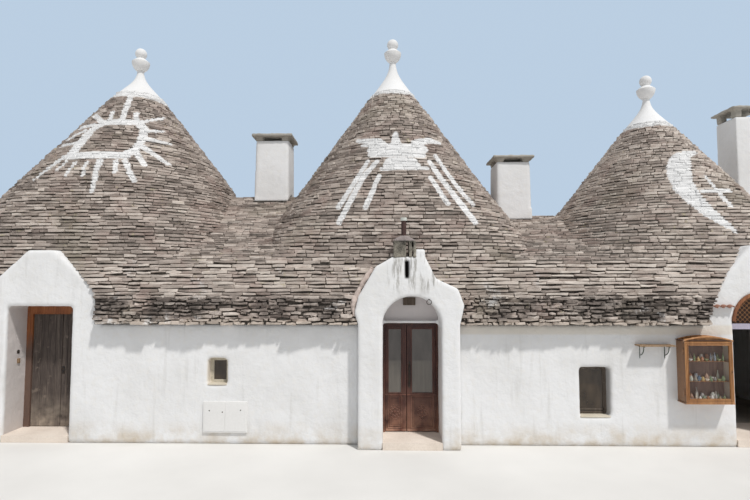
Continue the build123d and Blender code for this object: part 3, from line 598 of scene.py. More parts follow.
# Glazed door and mouldings: below 1 m a lighter reddish brown, painted sunlight on the lower door below the arch's
# shadow
mahogany = grainedWood(
    "mahogany", (0.028, 0.010, 0.008), (0.062, 0.021, 0.015), (0.12, 0.045, 0.03), 0.38, None, (0, 0, 0),
    (0.13, 1.0, (0.27, 0.135, 0.09)),
)
mouldingWood = grainedWood(
    "mouldingWood", (0.05, 0.017, 0.012), (0.11, 0.038, 0.026), (0.19, 0.075, 0.05), 0.32, None, (0, 0, 0),
    (0.13, 1.0, (0.42, 0.24, 0.17)),
)
ventWood = grainedWood("ventWood", (0.06, 0.045, 0.035), (0.13, 0.098, 0.075), (0.22, 0.17, 0.13), 0.6)
windowWood = grainedWood("windowWood", (0.05, 0.038, 0.03), (0.10, 0.078, 0.06), (0.17, 0.135, 0.11), 0.6, 0.04)
paintWest(windowWood, 0.0, (0.60, 0.55, 0.45))
caseWood = grainedWood("caseWood", (0.21, 0.085, 0.03), (0.43, 0.20, 0.075), (0.60, 0.33, 0.14), 0.42)
# Painted shade: the display case's left side, facing away from the sun, in a darker brown
paintWest(caseWood, 5.018, (0.24, 0.135, 0.08), 0.005)
# Near-black wood for painted shade lines: the grooves round the case door and the cornice under the crown
grooveShadeWood = grainedWood("grooveShadeWood", (0.035, 0.013, 0.006), (0.075, 0.03, 0.012), (0.13, 0.055, 0.022), 0.5)
shelfWood = grainedWood("shelfWood", (0.16, 0.10, 0.055), (0.30, 0.20, 0.12), (0.45, 0.32, 0.20), 0.65, 0.05)
darkIron = forgedIron("darkIron")
greenIron = forgedIron("greenIron", (0.025, 0.06, 0.04), 0.25)
# Door and window panes: the dark colours are painted shade of the rooms behind
doorPane = paneGlass("doorPane", (0.05, 0.042, 0.038), (0.085, 0.073, 0.066), 0.08, (0.86, 1.45, (0.135, 0.12, 0.10)))
windowPane = paneGlass("windowPane", (0.022, 0.013, 0.006), (0.062, 0.042, 0.025), 0.06, None, 0.15)


def clearGlass(name):
    material, tree, shader = newMaterial(name, 0.03, 0.5)
    shader.inputs["Base Color"].default_value = (0.13, 0.105, 0.095, 1)
    shader.inputs["Alpha"].default_value = 0.1
    bumpTo(tree, shader, ((noiseOf(tree, objectPoint(tree), 2.0, 2.0), 0.0005),))
    return material


casePane = clearGlass("casePane")


def pipeFinish(name, capFrom):
    # Dark red clay pipe under a limewashed, greenish cap
    material, tree, shader = newMaterial(name, 0.8, 0.25)
    point = objectPoint(tree)
    mottle = noiseOf(tree, point, 16.0, 4.0)
    clay = rampOf(tree, mottle, ((0.3, (0.045, 0.026, 0.024)), (0.7, (0.095, 0.056, 0.05))))
    x, y, z = splitPoint(tree, point)
    cap = rampOf(tree, mottle, ((0.3, (0.48, 0.51, 0.47)), (0.7, (0.70, 0.72, 0.68))))
    join(tree, blendColours(tree, spread(tree, z, capFrom - 0.003, capFrom), clay, cap), shader.inputs["Base Color"])
    bumpTo(tree, shader, ((mottle, 0.003),))
    return material


pipeClay = pipeFinish("pipeClay", 4.02)

nodeFinishes = {
    wallLime: (
        "front_wall_far_left", "front_wall_left", "front_wall_right", "front_wall_far_right",
        "door_bay_pier_left", "door_bay_pier_right", "back_wall", "end_wall_left", "end_wall_right",
        "cross_wall_left", "cross_wall_right",
    ),
    gableLime: ("left_gable", "middle_gable", "right_gable", "over_door_masonry"),
    darkBed: (
        "roof_haunch_left", "roof_haunch_middle", "roof_haunch_right", "left_saddle", "right_saddle",
    ),
    bedLeft: ("cone_left",),
    bedMiddle: ("cone_middle",),
    bedRight: ("cone_right",),
    pinnacleLime: ("pinnacle_left", "pinnacle_middle", "pinnacle_right"),
    chimneyLime: ("chimney_left", "chimney_middle", "chimney_right"),
    slabStone: ("chimney_slabs",),
    crestStone: ("gable_crest",),
    pipeClay: ("vent_pipe",),
    floorStone: ("floor",),
    thresholdStone: ("thresholds",),
    orangeFrameWood: ("left_door_frame",),
    oldPlank: ("left_door_leaf_left", "left_door_leaf_right"),
    mahogany: ("middle_door_frame", "middle_door_leaf_left", "middle_door_leaf_right"),
    doorPane: ("middle_door_glass_left", "middle_door_glass_right"),
    windowWood: ("window_frames",),
    windowPane: ("window_glass",),
    lilacPlaster: ("shop_lintel",),
    caseWood: ("display_case", "display_case_door"),
    casePane: ("display_case_glass",),
    shelfWood: ("wall_shelf",),
    cabinetWhite: ("meter_cabinet",),
}
for material, names in nodeFinishes.items():
    for name in names:
        for slot in nodes[name].material_slots:
            slot.material = material
print("trullo: finishes made")


# Building helpers

def addPiece(name, mesh, material=None, body="house", slot=None, smooth=False):
    piece = bpy.data.objects.new(name, mesh)
    scene.collection.objects.link(piece)
    if material:
        mesh.materials.clear()
        mesh.materials.append(material)
    mesh.polygons.foreach_set("use_smooth", [smooth] * len(mesh.polygons))
    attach(piece, body)
    return piece


def solidCopy(names):
    # One mesh of several CAD nodes, with each node's loose triangles merged
    whole = bmesh.new()
    for name in names:
        part = bmesh.new()
        part.from_mesh(nodes[name].data)
        bmesh.ops.remove_doubles(part, verts=part.verts, dist=0.0002)
        mesh = bpy.data.meshes.new("part")
        part.to_mesh(mesh)
        part.free()
        whole.from_mesh(mesh)
        bpy.data.meshes.remove(mesh)
    mesh = bpy.data.meshes.new("solidCopy")
    whole.to_mesh(mesh)
    whole.free()
    return mesh


def bakedMesh(source):
    # The evaluated object as a plain mesh
    depsgraph = bpy.context.evaluated_depsgraph_get()
    mesh = bpy.data.meshes.new_from_object(source.evaluated_get(depsgraph), depsgraph=depsgraph)
    return mesh


def softMasonry(name, names, material, slot, voxel, settings):
    # Rubble under many coats of lime: rounded arrises and a gently uneven face
    source = bpy.data.objects.new(name + "Source", solidCopy(names))
    scene.collection.objects.link(source)
    remesh = source.modifiers.new("remesh", "REMESH")
    remesh.mode = "VOXEL"
    remesh.voxel_size = voxel
    ease = source.modifiers.new("ease", "SMOOTH")
    ease.factor = 0.5
    ease.iterations = settings["rounds"]
    mesh = bakedMesh(source)
    bpy.data.objects.remove(source)
    places = np.empty(len(mesh.vertices) * 3)
    ways = np.empty_like(places)
    mesh.vertices.foreach_get("co", places)
    mesh.vertices.foreach_get("normal", ways)
    places, ways = places.reshape(-1, 3), ways.reshape(-1, 3)
    lift = np.array([
        settings["swell"] * (0.5 + 0.5 * noise.noise(Vector(place) * settings["broadScale"]))
        + settings["lump"] * noise.noise(Vector(place) * settings["closeScale"])
        for place in places
    ])
    places = places + ways * lift[:, None]
    places[:, 2] = np.maximum(places[:, 2], 0)
    mesh.vertices.foreach_set("co", places.ravel())
    mesh.update()
    piece = addPiece(name, mesh, material, "house", slot, True)
    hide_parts(*names)
    print("trullo:", name, len(mesh.polygons), "faces")
    return piece


masonry = {"rounds": 2, "swell": 0.008, "lump": 0.003, "broadScale": 1.9, "closeScale": 7.5}
for name, voxel, stretch in (
    ("leftFront", 0.036, ("front_wall_far_left", "front_wall_left", "left_gable", "over_door_masonry")),
    ("middleFront", 0.027, ("door_bay_pier_left", "door_bay_pier_right", "middle_gable")),
    ("rightFront", 0.036, ("front_wall_right", "front_wall_far_right", "right_gable")),
):
    softMasonry(name, stretch, frontLime, "whitewash", voxel, masonry)
softMasonry(
    "backMasonry", ("back_wall", "end_wall_left", "end_wall_right"), wallLime, "whitewash", 0.08, masonry,
)
for side in ("left", "middle", "right"):
    softMasonry(
        side + "ChimneyShaft", ("chimney_" + side,), chimneyLime, "chimney_whitewash", 0.042,
        {"rounds": 1, "swell": 0.006, "lump": 0.003, "broadScale": 2.6, "closeScale": 9.0},
    )
softMasonry(
    "chimneyCaps", ("chimney_slabs",), slabStone, "grey_slab", 0.026,
    {"rounds": 1, "swell": 0.012, "lump": 0.012, "broadScale": 5.0, "closeScale": 11.0},
)
softMasonry(
    "crestBlock", ("gable_crest",), crestStone, "dark_stone", 0.011,
    {"rounds": 1, "swell": 0.012, "lump": 0.024, "broadScale": 6.0, "closeScale": 11.0},
)
print("trullo: masonry dressed")


# Roof slabs. The beds are found along level cuts through each roof node, and one node
# tree lays a stone on each.

def levelRuns(points, faces, normals, level):
    # Chained cuts of the outer slopes at one level, as lists of points and directions out.
    # Of the upright faces only the eaves' edge counts.
    corners = points[faces]
    heights = corners[:, :, 2]
    centres = corners.mean(1)
    outward = (np.abs(centres[:, 1]) > 3.3) & (normals[:, 1] * np.sign(centres[:, 1]) > 0.3)
    outward |= (np.abs(centres[:, 0]) > 9.2) & (normals[:, 0] * np.sign(centres[:, 0]) > 0.3)
    outer = (normals[:, 2] > 0.05) | (outward & (normals[:, 2] > -0.05))
    hit = (heights.min(1) < level) & (heights.max(1) >= level) & outer
    segments = []
    for face, normal in zip(faces[hit], normals[hit]):
        ends = []
        for a, b in ((0, 1), (1, 2), (2, 0)):
            first, second = points[face[a]], points[face[b]]
            if (first[2] < level) != (second[2] < level):
                share = (level - first[2]) / (second[2] - first[2])
                ends.append(first + (second - first) * share)
        if len(ends) == 2 and np.hypot(*(ends[0] - ends[1])[:2]) > 1e-6:
            segments.append((ends[0], ends[1], normal))
    places = {}
    for index, (first, second, _) in enumerate(segments):
        for end in (first, second):
            places.setdefault((round(end[0], 4), round(end[1], 4)), []).append(index)
    runs, used = [], set()

    def keyOf(end):
        return (round(end[0], 4), round(end[1], 4))

    def follow(index, end):
        # Walks on from one end of a segment until nothing joins it
        path = []
        while True:
            following = [i for i in places[keyOf(end)] if i not in used]
            if not following:
                return path
            index = following[0]
            used.add(index)
            first, second, normal = segments[index]
            end = second if keyOf(first) == keyOf(end) else first
            path.append((end, normal))

    for index, (first, second, normal) in enumerate(segments):
        if index in used:
            continue
        used.add(index)
        onward = follow(index, second)
        backward = follow(index, first)
        path = [(end, way) for end, way in reversed(backward)] + [(first, normal), (second, normal)] + onward
        runs.append((np.array([p for p, _ in path]), np.array([n for _, n in path])))
    return runs


chimneyFootprints = ((-3.37, -2.53, -0.4, 0.4), (2.48, 3.32, -0.4, 0.4), (8.66, 9.38, 0.26, 1.04))


def layBeds(names, settings, rng):
    # One bed for each stone: its place, turn, size and tone. Courses run on from one node
    # of the same slope to the next.
    mesh = solidCopy(names)
    mesh.calc_loop_triangles()
    points = np.array([v.co for v in mesh.vertices])
    faces = np.array([t.vertices for t in mesh.loop_triangles])
    normals = np.array([t.normal for t in mesh.loop_triangles])
    bpy.data.meshes.remove(mesh)
    beds = []
    bottom, top = settings["from"], settings["to"]
    while bottom < top:
        course = settings["course"] * rng.uniform(0.85, 1.15)
        courseTone = rng.random()
        level = bottom + course / 2
        for path, ways in levelRuns(points, faces, normals, level):
            steps = np.hypot(*(path[1:] - path[:-1])[:, :2].T)
            reach = np.concatenate(([0], np.cumsum(steps)))
            length = reach[-1]
            if length < 0.07:
                continue
            edges = [0.0]
            short = min(1.0, max(settings["least"], length / 11))
            while edges[-1] < length:
                edges.append(edges[-1] + short * rng.uniform(*settings["length"]))
            edges = [edge * length / edges[-1] for edge in edges]
            at = [[np.interp(edge, reach, path[:, axis]) for axis in range(3)] for edge in edges]
            for start, end, first, second in zip(edges, edges[1:], at, at[1:]):
                middle = (Vector(first) + Vector(second)) / 2
                if any(a < middle.x < b and c < middle.y < d for a, b, c, d in chimneyFootprints):
                    continue
                way = ways[min(np.searchsorted(reach, (start + end) / 2), len(ways) - 1)]
                run = Vector(second) - Vector(first)
                out = Vector((run.y, -run.x, 0))
                if out.length < 1e-5:
                    continue
                out.normalize()
                if out.x * way[0] + out.y * way[1] < 0:
                    out = -out
                depth = settings["depth"]
                proud = rng.uniform(*settings["proud"])
                centre = middle + out * (proud - depth / 2)
                centre.z = level + rng.gauss(0, settings["wander"])
                turn = (
                    settings["pitch"] + rng.gauss(0, settings["sway"]),
                    rng.gauss(0, settings["sway"] * 0.35),
                    math.atan2(out.x, -out.y) + rng.gauss(0, settings["sway"] * 0.8),
                )
                thickness = course * rng.uniform(*settings["thickness"])
                size = (max(run.length - settings["joint"] * rng.uniform(0.2, 1.6), 0.03), depth, thickness)
                centre.z -= (course - thickness) / 2 * rng.uniform(-0.3, 1.0)
                beds.append((centre, turn, size, 0.7 * rng.random() + 0.3 * courseTone))
        bottom += course
    return beds


def buildLayingTree():
    # Lays one chamfered stone on each bed, then knocks its corners about a little
    tree = bpy.data.node_groups.new("laidStones", "GeometryNodeTree")
    tree.is_modifier = True
    face = tree.interface
    face.new_socket("Beds", in_out="INPUT", socket_type="NodeSocketGeometry")
    for name, kind, value in (
        ("Columns", "NodeSocketInt", 3),
        ("Chamfer", "NodeSocketFloat", 0.1),
        ("Face Share", "NodeSocketFloat", 0.86),
        ("Knock", "NodeSocketFloat", 0.005),
        ("Seed", "NodeSocketInt", 1),
        ("Finish", "NodeSocketMaterial", None),
    ):
        socket = face.new_socket(name, in_out="INPUT", socket_type=kind)
        if value is not None:
            socket.default_value = value
    face.new_socket("Stones", in_out="OUTPUT", socket_type="NodeSocketGeometry")
    source = addNode(tree, "NodeGroupInput")
    target = addNode(tree, "NodeGroupOutput")
    stone = addNode(tree, "GeometryNodeMeshCube")
    stone.inputs["Size"].default_value = (1, 1, 1)
    join(tree, source.outputs["Columns"], stone.inputs["Vertices X"])
    facing = addNode(tree, "GeometryNodeInputNormal")
    split = addNode(tree, "ShaderNodeSeparateXYZ")
    join(tree, facing.outputs[0], split.inputs[0])
    front = addNode(tree, "FunctionNodeCompare", data_type="FLOAT", operation="LESS_THAN")
    join(tree, split.outputs["Y"], front.inputs[0])
    front.inputs[1].default_value = -0.5
    push = addNode(tree, "GeometryNodeExtrudeMesh", mode="FACES")
    join(tree, stone.outputs["Mesh"], push.inputs["Mesh"])
    join(tree, front.outputs[0], push.inputs["Selection"])
    join(tree, source.outputs["Chamfer"], push.inputs["Offset Scale"])
    push.inputs["Individual"].default_value = False
    narrow = addNode(tree, "GeometryNodeScaleElements", domain="FACE")
    join(tree, push.outputs["Mesh"], narrow.inputs["Geometry"])
    join(tree, push.outputs["Top"], narrow.inputs["Selection"])
    join(tree, source.outputs["Face Share"], narrow.inputs["Scale"])
    laid = addNode(tree, "GeometryNodeInstanceOnPoints")
    join(tree, source.outputs["Beds"], laid.inputs["Points"])
    join(tree, narrow.outputs["Geometry"], laid.inputs["Instance"])
    turn = addNode(tree, "GeometryNodeInputNamedAttribute", data_type="FLOAT_VECTOR")
    turn.inputs["Name"].default_value = "turn"
    asRotation = addNode(tree, "FunctionNodeEulerToRotation")
    join(tree, turn.outputs["Attribute"], asRotation.inputs["Euler"])
    join(tree, asRotation.outputs["Rotation"], laid.inputs["Rotation"])
    size = addNode(tree, "GeometryNodeInputNamedAttribute", data_type="FLOAT_VECTOR")
    size.inputs["Name"].default_value = "size"
    join(tree, size.outputs["Attribute"], laid.inputs["Scale"])
    real = addNode(tree, "GeometryNodeRealizeInstances")
    join(tree, laid.outputs["Instances"], real.inputs["Geometry"])
    knock = addNode(tree, "FunctionNodeRandomValue", data_type="FLOAT_VECTOR")
    join(tree, source.outputs["Seed"], knock.inputs["Seed"])
    low = addNode(tree, "ShaderNodeMath", operation="MULTIPLY")
    join(tree, source.outputs["Knock"], low.inputs[0])
    low.inputs[1].default_value = -1.0
    join(tree, low.outputs[0], knock.inputs["Min"])
    join(tree, source.outputs["Knock"], knock.inputs["Max"])
    shift = addNode(tree, "GeometryNodeSetPosition")
    join(tree, real.outputs["Geometry"], shift.inputs["Geometry"])
    join(tree, knock.outputs["Value"], shift.inputs["Offset"])
    finish = addNode(tree, "GeometryNodeSetMaterial")
    join(tree, shift.outputs["Geometry"], finish.inputs["Geometry"])
    join(tree, source.outputs["Finish"], finish.inputs["Material"])
    join(tree, finish.outputs["Geometry"], target.inputs["Stones"])
    return tree


layingTree = buildLayingTree()


def socketId(tree, name):
    return next(s.identifier for s in tree.interface.items_tree if s.name == name and s.in_out == "INPUT")


def layStones(name, beds, material, slot, columns, chamfer, knock, seed):
    mesh = bpy.data.meshes.new(name + "Beds")
    mesh.from_pydata([bed[0] for bed in beds], [], [])
    for key, kind, column in (("turn", "FLOAT_VECTOR", 1), ("size", "FLOAT_VECTOR", 2), ("tone", "FLOAT", 3)):
        layer = mesh.attributes.new(key, kind, "POINT")
        values = np.array([bed[column] for bed in beds], np.float32).ravel()
        layer.data.foreach_set("value" if kind == "FLOAT" else "vector", values)
    source = bpy.data.objects.new(name + "Source", mesh)
    scene.collection.objects.link(source)
    modifier = source.modifiers.new("laidStones", "NODES")
    modifier.node_group = layingTree
    for key, value in (
        ("Columns", columns), ("Chamfer", chamfer), ("Knock", knock), ("Seed", seed), ("Finish", material),
    ):
        modifier[socketId(layingTree, key)] = value
    stones = bakedMesh(source)
    source.modifiers.clear()
    bpy.data.objects.remove(source)
    for key in ("turn", "size"):
        if key in stones.attributes:
            stones.attributes.remove(stones.attributes[key])
    piece = addPiece(name, stones, None, "house", slot)
    print("trullo:", name, len(beds), "stones,", len(stones.polygons), "faces")
    return piece


fineSlabs = {
    "course": 0.068, "length": (0.13, 0.36), "depth": 0.13, "proud": (0.014, 0.046), "pitch": 0.06,
    "sway": 0.03, "joint": 0.006, "thickness": (0.54, 0.8), "wander": 0.003, "knock": 0.007, "least": 0.68,
}
saddleSlabs = dict(fineSlabs, course=0.046, thickness=(0.62, 0.94), proud=(0.02, 0.05), sway=0.02, knock=0.005, least=1.0)
haunchSlabs = dict(fineSlabs, course=0.064, length=(0.24, 0.74), thickness=(0.5, 0.84), wander=0.005, knock=0.009)
eaveSlabs = {
    "least": 0.45,
    "course": 0.056, "length": (0.14, 0.70), "depth": 0.2, "proud": (0.0, 0.09), "pitch": 0.03,
    "sway": 0.065, "joint": 0.022, "thickness": (0.42, 0.92), "wander": 0.008, "knock": 0.012,
}
haunches = ("roof_haunch_left", "roof_haunch_middle", "roof_haunch_right")
roofPieces = (
    (("cone_left",), "leftConeSlabs", stoneLeft, "roof_slabs", fineSlabs, 3.31, 7.5),
    (("cone_middle",), "middleConeSlabs", stoneMiddle, "roof_slabs", fineSlabs, 3.31, 7.5),
    (("cone_right",), "rightConeSlabs", stoneRight, "roof_slabs", fineSlabs, 3.31, 6.7),
    (("left_saddle",), "leftSaddleSlabs", stoneSaddle, "roof_slabs", saddleSlabs, 3.31, 5.0),
    (("right_saddle",), "rightSaddleSlabs", stoneSaddle, "roof_slabs", saddleSlabs, 3.31, 4.5),
    (haunches, "haunchSlabs", stoneHaunch, "rough_slabs", haunchSlabs, 2.62, 3.3),
    (haunches, "eaveSlabs", stoneEave, "rough_slabs", eaveSlabs, 2.155, 2.62),
)
for order, (names, name, material, slot, settings, low, high) in enumerate(roofPieces):
    rng = random.Random(11 + order)
    beds = layBeds(names, dict(settings, **{"from": low, "to": high}), rng)
    layStones(name, beds, material, slot, 3, 0.1, settings["knock"], 5 + order)
print("trullo: roof laid")


# Joinery, ironwork and the small things on the front

def sawnMesh(name, boxes, bevel=0.002):
    # Boxes between two corners, as x, y and z pairs, with eased arrises
    shape = bmesh.new()
    for x1, x2, y1, y2, z1, z2 in boxes:
        corners = [shape.verts.new((x, y, z)) for z in (z1, z2) for x, y in ((x1, y1), (x2, y1), (x2, y2), (x1, y2))]
        for ring in ((3, 2, 1, 0), (4, 5, 6, 7), (0, 1, 5, 4), (1, 2, 6, 5), (2, 3, 7, 6), (3, 0, 4, 7)):
            shape.faces.new([corners[index] for index in ring])
    bmesh.ops.bevel(shape, geom=shape.edges[:], offset=bevel, segments=1, affect="EDGES", profile=0.5)
    mesh = bpy.data.meshes.new(name)
    shape.to_mesh(mesh)
    shape.free()
    return mesh


def turnedMesh(name, shapes, steps=20):
    # Turned pieces, each a foot point, a way up, a profile of radius and height, and a tone
    shape = bmesh.new()
    tones = shape.verts.layers.float.new("tone")
    for foot, up, profile, tone in shapes:
        turn = Vector((0, 0, 1)).rotation_difference(Vector(up))
        rings = []
        for radius, height in profile:
            ring = []
            for step in range(steps):
                angle = 2 * math.pi * step / steps
                place = turn @ Vector((radius * math.cos(angle), radius * math.sin(angle), height))
                ring.append(shape.verts.new(Vector(foot) + place))
                ring[-1][tones] = tone
            rings.append(ring)
        for lower, upper in zip(rings, rings[1:]):
            for step in range(steps):
                after = (step + 1) % steps
                shape.faces.new((lower[step], lower[after], upper[after], upper[step]))
        shape.faces.new(reversed(rings[0]))
        shape.faces.new(rings[-1])
    mesh = bpy.data.meshes.new(name)
    shape.to_mesh(mesh)
    shape.free()
    return mesh


def rodMesh(name, paths, radius, cyclic=False):
    # Round bars bent through points
    curve = bpy.data.curves.new(name, "CURVE")
    curve.dimensions = "3D"
    curve.bevel_depth = radius
    curve.bevel_resolution = 3
    curve.use_fill_caps = True
    for path in paths:
        spline = curve.splines.new("POLY")
        spline.points.add(len(path) - 1)
        for point, place in zip(spline.points, path):
            point.co = (*place, 1)
        spline.use_cyclic_u = cyclic
    holder = bpy.data.objects.new(name + "Source", curve)
    scene.collection.objects.link(holder)
    mesh = bakedMesh(holder)
    bpy.data.objects.remove(holder)
    return mesh


def frameBoxes(x1, x2, z1, z2, width, y1, y2):
    # Four strips round a rectangle, lying outside it
    return [
        (x1 - width, x2 + width, y1, y2, z2, z2 + width),
        (x1 - width, x2 + width, y1, y2, z1 - width, z1),
        (x1 - width, x1, y1, y2, z1, z2),
        (x2, x2 + width, y1, y2, z1, z2),
    ]


# Planks of the old door, with gaps where the dark leaf behind them shows
oldDoor = {
    "faceY": -2.618, "proud": 0.006, "low": 0.135, "high": 2.281, "gap": 0.007,
    "left": (-7.069, (0.168, 0.128, 0.152, 0.124)), "right": (-6.486, (0.104, 0.086, 0.099, 0.100)),
}
for side in ("left", "right"):
    x, widths = oldDoor[side]
    boards = []
    for index, width in enumerate(widths):
        back = oldDoor["faceY"] + 0.001
        front = oldDoor["faceY"] - oldDoor["proud"] + 0.001 * (index % 2)
        boards.append((x, x + width - oldDoor["gap"], front, back, oldDoor["low"], oldDoor["high"]))
        x += width
    addPiece(side + "DoorPlanks", sawnMesh("planks", boards, 0.0025), oldPlank, "old_door_" + side, "weathered_planks")

# A rail across the head of the old door's frame, its rim lock and its ring pull
addPiece("oldFrameBead", sawnMesh("bead", frameBoxes(-7.074, -6.094, 0.15, 2.284, 0.018, -2.658, -2.649)[:1] + [
    (-7.094, -7.079, -2.658, -2.649, 0.125, 2.284), (-6.089, -6.074, -2.658, -2.649, 0.125, 2.284),
]), orangeFrameWood, "house", "old_orange_wood")
lock = {"x": -6.452, "z": 1.22, "y": -2.624}
addPiece("oldRimLock", sawnMesh("lock", [
    (lock["x"] - 0.026, lock["x"] + 0.026, lock["y"] - 0.007, lock["y"] + 0.002, lock["z"] - 0.09, lock["z"] + 0.06),
    (lock["x"] - 0.009, lock["x"] + 0.009, lock["y"] - 0.011, lock["y"], lock["z"] - 0.065, lock["z"] - 0.025),
]), darkIron, "old_door_right")
ringPath = [
    (lock["x"] + 0.034 * math.sin(a), lock["y"] - 0.013, lock["z"] + 0.0 - 0.034 * math.cos(a) - 0.005)
    for a in [2 * math.pi * step / 24 for step in range(24)]
]
addPiece("oldRingPull", rodMesh("ring", [ringPath], 0.0055, True), darkIron, "old_door_right", None, True)

# Glazed door: glazing beads, lock rail moulding, bolection and carved rosette on each panel
glazedDoor = {
    "faceY": -2.818, "paneLow": 0.84, "paneHigh": 2.024, "panelLow": 0.202, "panelHigh": 0.770,
    "left": (-0.136, 0.101), "right": (0.304, 0.688),
}
for side, ends in (("left", (-0.194, 0.195)), ("right", (0.210, 0.746))):
    x1, x2 = glazedDoor[side]
    y = glazedDoor["faceY"]
    strips = frameBoxes(x1, x2, glazedDoor["paneLow"], glazedDoor["paneHigh"], 0.013, y - 0.007, y + 0.001)
    strips += frameBoxes(x1, x2, glazedDoor["panelLow"], glazedDoor["panelHigh"], 0.016, y - 0.010, y + 0.001)
    strips += frameBoxes(x1 + 0.03, x2 - 0.03, 0.232, 0.740, 0.010, y - 0.001, y + 0.010)
    strips.append((*ends, y - 0.016, y + 0.001, 0.793, 0.815))
    strips.append((*ends, y - 0.010, y + 0.001, 0.138, 0.176))
    addPiece(side + "DoorMouldings", sawnMesh("mouldings", strips, 0.003), mouldingWood, "glazed_door_" + side, "dark_door_wood")
    middle, petals = (x1 + x2) / 2, []
    for ring, (count, reach, size) in enumerate(((8, 0.052, 0.017), (12, 0.088, 0.013))):
        for step in range(count):
            angle = 2 * math.pi * (step + ring / 2) / count
            place = (middle + reach * math.sin(angle), y + 0.006, 0.486 + 1.5 * reach * math.cos(angle))
            petals.append((place, (0, -1, 0), ((size, 0.0), (size * 0.85, 0.007), (size * 0.3, 0.011)), 0.5))
    petals.append(((middle, y + 0.006, 0.486), (0, -1, 0), ((0.026, 0.0), (0.022, 0.009), (0.008, 0.014)), 0.5))
    addPiece(side + "DoorRosette", turnedMesh("rosette", petals, 10), mouldingWood, "glazed_door_" + side, "dark_door_wood", True)

# Long iron handle on a plate of its own
handle = {"x": 0.254, "low": 0.93, "high": 1.42, "y": -2.819}
addPiece("glazedDoorPlate", sawnMesh("plate", [
    (handle["x"] - 0.017, handle["x"] + 0.017, handle["y"] - 0.005, handle["y"] + 0.001, handle["low"], handle["high"]),
]), darkIron, "glazed_door_right")
pull = [
    (handle["x"], handle["y"] - 0.002 - 0.042 * math.sin(math.pi * share) ** 0.5, 0.98 + 0.38 * share)
    for share in [step / 16 for step in range(17)]
]
addPiece("glazedDoorPull", rodMesh("pull", [pull], 0.009), darkIron, "glazed_door_right", None, True)
print("trullo: doors fitted")

# Window sashes and sills
windows = {"left": (-3.25, 0.18, 1.05, 1.53), "right": (3.55, 0.27, 0.51, 1.39)}
for side, (x, half, low, high) in windows.items():
    inner = half - 0.04
    bars = frameBoxes(x - inner + 0.024, x + inner - 0.024, low + 0.064, high - 0.064, 0.024, -3.030, -3.018)
    if side == "right":
        bars.append((x - inner, x + inner, -3.030, -3.018, low + 0.085, low + 0.115))
    addPiece(side + "WindowSash", sawnMesh("sash", bars), windowWood, "house", "window_wood")
    addPiece(side + "WindowSill", sawnMesh("sill", [
        (x - half + 0.004, x + half - 0.004, -3.207, -3.042, low - 0.006, low + 0.022),
    ], 0.005), sillStone)

# Display case: mouldings, dark lining, shelves' goods and the knob
case = {"left": 5.010, "right": 5.840, "low": 0.830, "high": 1.875, "faceY": -3.420, "backY": -3.225}
caseLining = grainedWood("caseLining", (0.13, 0.083, 0.068), (0.24, 0.16, 0.135), (0.36, 0.255, 0.215), 0.7)
addPiece("caseBack", sawnMesh("lining", [
    (case["left"] + 0.027, case["right"] - 0.027, -3.231, -3.2255, case["low"] + 0.027, case["high"] - 0.027),
]), caseLining, "house", "case_wood")
caseCream = plainStone("caseCream", (0.60, 0.55, 0.47), (0.76, 0.71, 0.62), 6.0, 0.001)
addPiece("caseSide", sawnMesh("side", [
    (case["right"] - 0.030, case["right"] - 0.0255, -3.405, -3.232, case["low"] + 0.028, case["high"] - 0.028),
], 0.001), caseCream)
crown = [
    (5.425 + 0.430 * share, -3.420, case["high"] + 0.012 + 0.070 * (1 - share * share))
    for share in [step / 12 - 1 for step in range(25)]
]
crownBars = [[(x, y + shift, z) for x, y, z in crown] for shift in (-0.022, 0.002, 0.188)]
addPiece("caseCrown", rodMesh("crown", crownBars, 0.014), caseWood, "house", "case_wood", True)
# The cornice in the near-black wood, a painted shadow line under the crown
addPiece("caseCornice", sawnMesh("cornice", [
    (case["left"] - 0.018, case["right"] + 0.018, -3.452, -3.21, case["high"] + 0.012, case["high"] + 0.028),
], 0.005), grooveShadeWood, "house", "case_wood")
addPiece("caseFoot", sawnMesh("foot", [
    (case["left"] - 0.014, case["right"] + 0.014, -3.452, -3.205, case["low"] - 0.030, case["low"] - 0.006),
], 0.006), caseWood, "house", "case_wood")
doorBead = frameBoxes(case["left"] + 0.065, case["right"] - 0.065, case["low"] + 0.065, case["high"] - 0.065, 0.011, -3.456, -3.449)
doorBead += frameBoxes(case["left"] + 0.014, case["right"] - 0.014, case["low"] + 0.014, case["high"] - 0.014, 0.012, -3.454, -3.449)
addPiece("caseDoorBead", sawnMesh("bead", doorBead), caseWood, "case_door", "case_wood")
# Flat dark strips on the door face, painted shade for two grooves round its panel
doorGrooveShade = frameBoxes(case["left"] + 0.030, case["right"] - 0.030, case["low"] + 0.030, case["high"] - 0.030, 0.006, -3.4515, -3.449)
doorGrooveShade += frameBoxes(case["left"] + 0.052, case["right"] - 0.052, case["low"] + 0.052, case["high"] - 0.052, 0.006, -3.4515, -3.449)
addPiece("caseDoorGrooveShade", sawnMesh("groove", doorGrooveShade, 0.0006), grooveShadeWood, "case_door", "case_wood")
addPiece("caseKnob", turnedMesh("knob", [
    ((case["right"] - 0.030, -3.450, 1.36), (0, -1, 0), ((0.006, 0.0), (0.006, 0.008), (0.011, 0.013), (0.010, 0.021), (0.004, 0.025)), 0.5),
], 14), darkIron, "case_door", None, True)

potProfiles = {
    "jar": ((0.030, 0.0), (0.042, 0.03), (0.045, 0.07), (0.034, 0.10), (0.024, 0.115), (0.030, 0.13)),
    "bottle": ((0.026, 0.0), (0.028, 0.02), (0.028, 0.11), (0.012, 0.15), (0.011, 0.20), (0.014, 0.21)),
    "bowl": ((0.022, 0.0), (0.034, 0.015), (0.054, 0.045), (0.058, 0.055), (0.052, 0.056)),
    "cone": ((0.050, 0.0), (0.048, 0.035), (0.050, 0.04), (0.028, 0.09), (0.010, 0.125), (0.004, 0.15)),
}


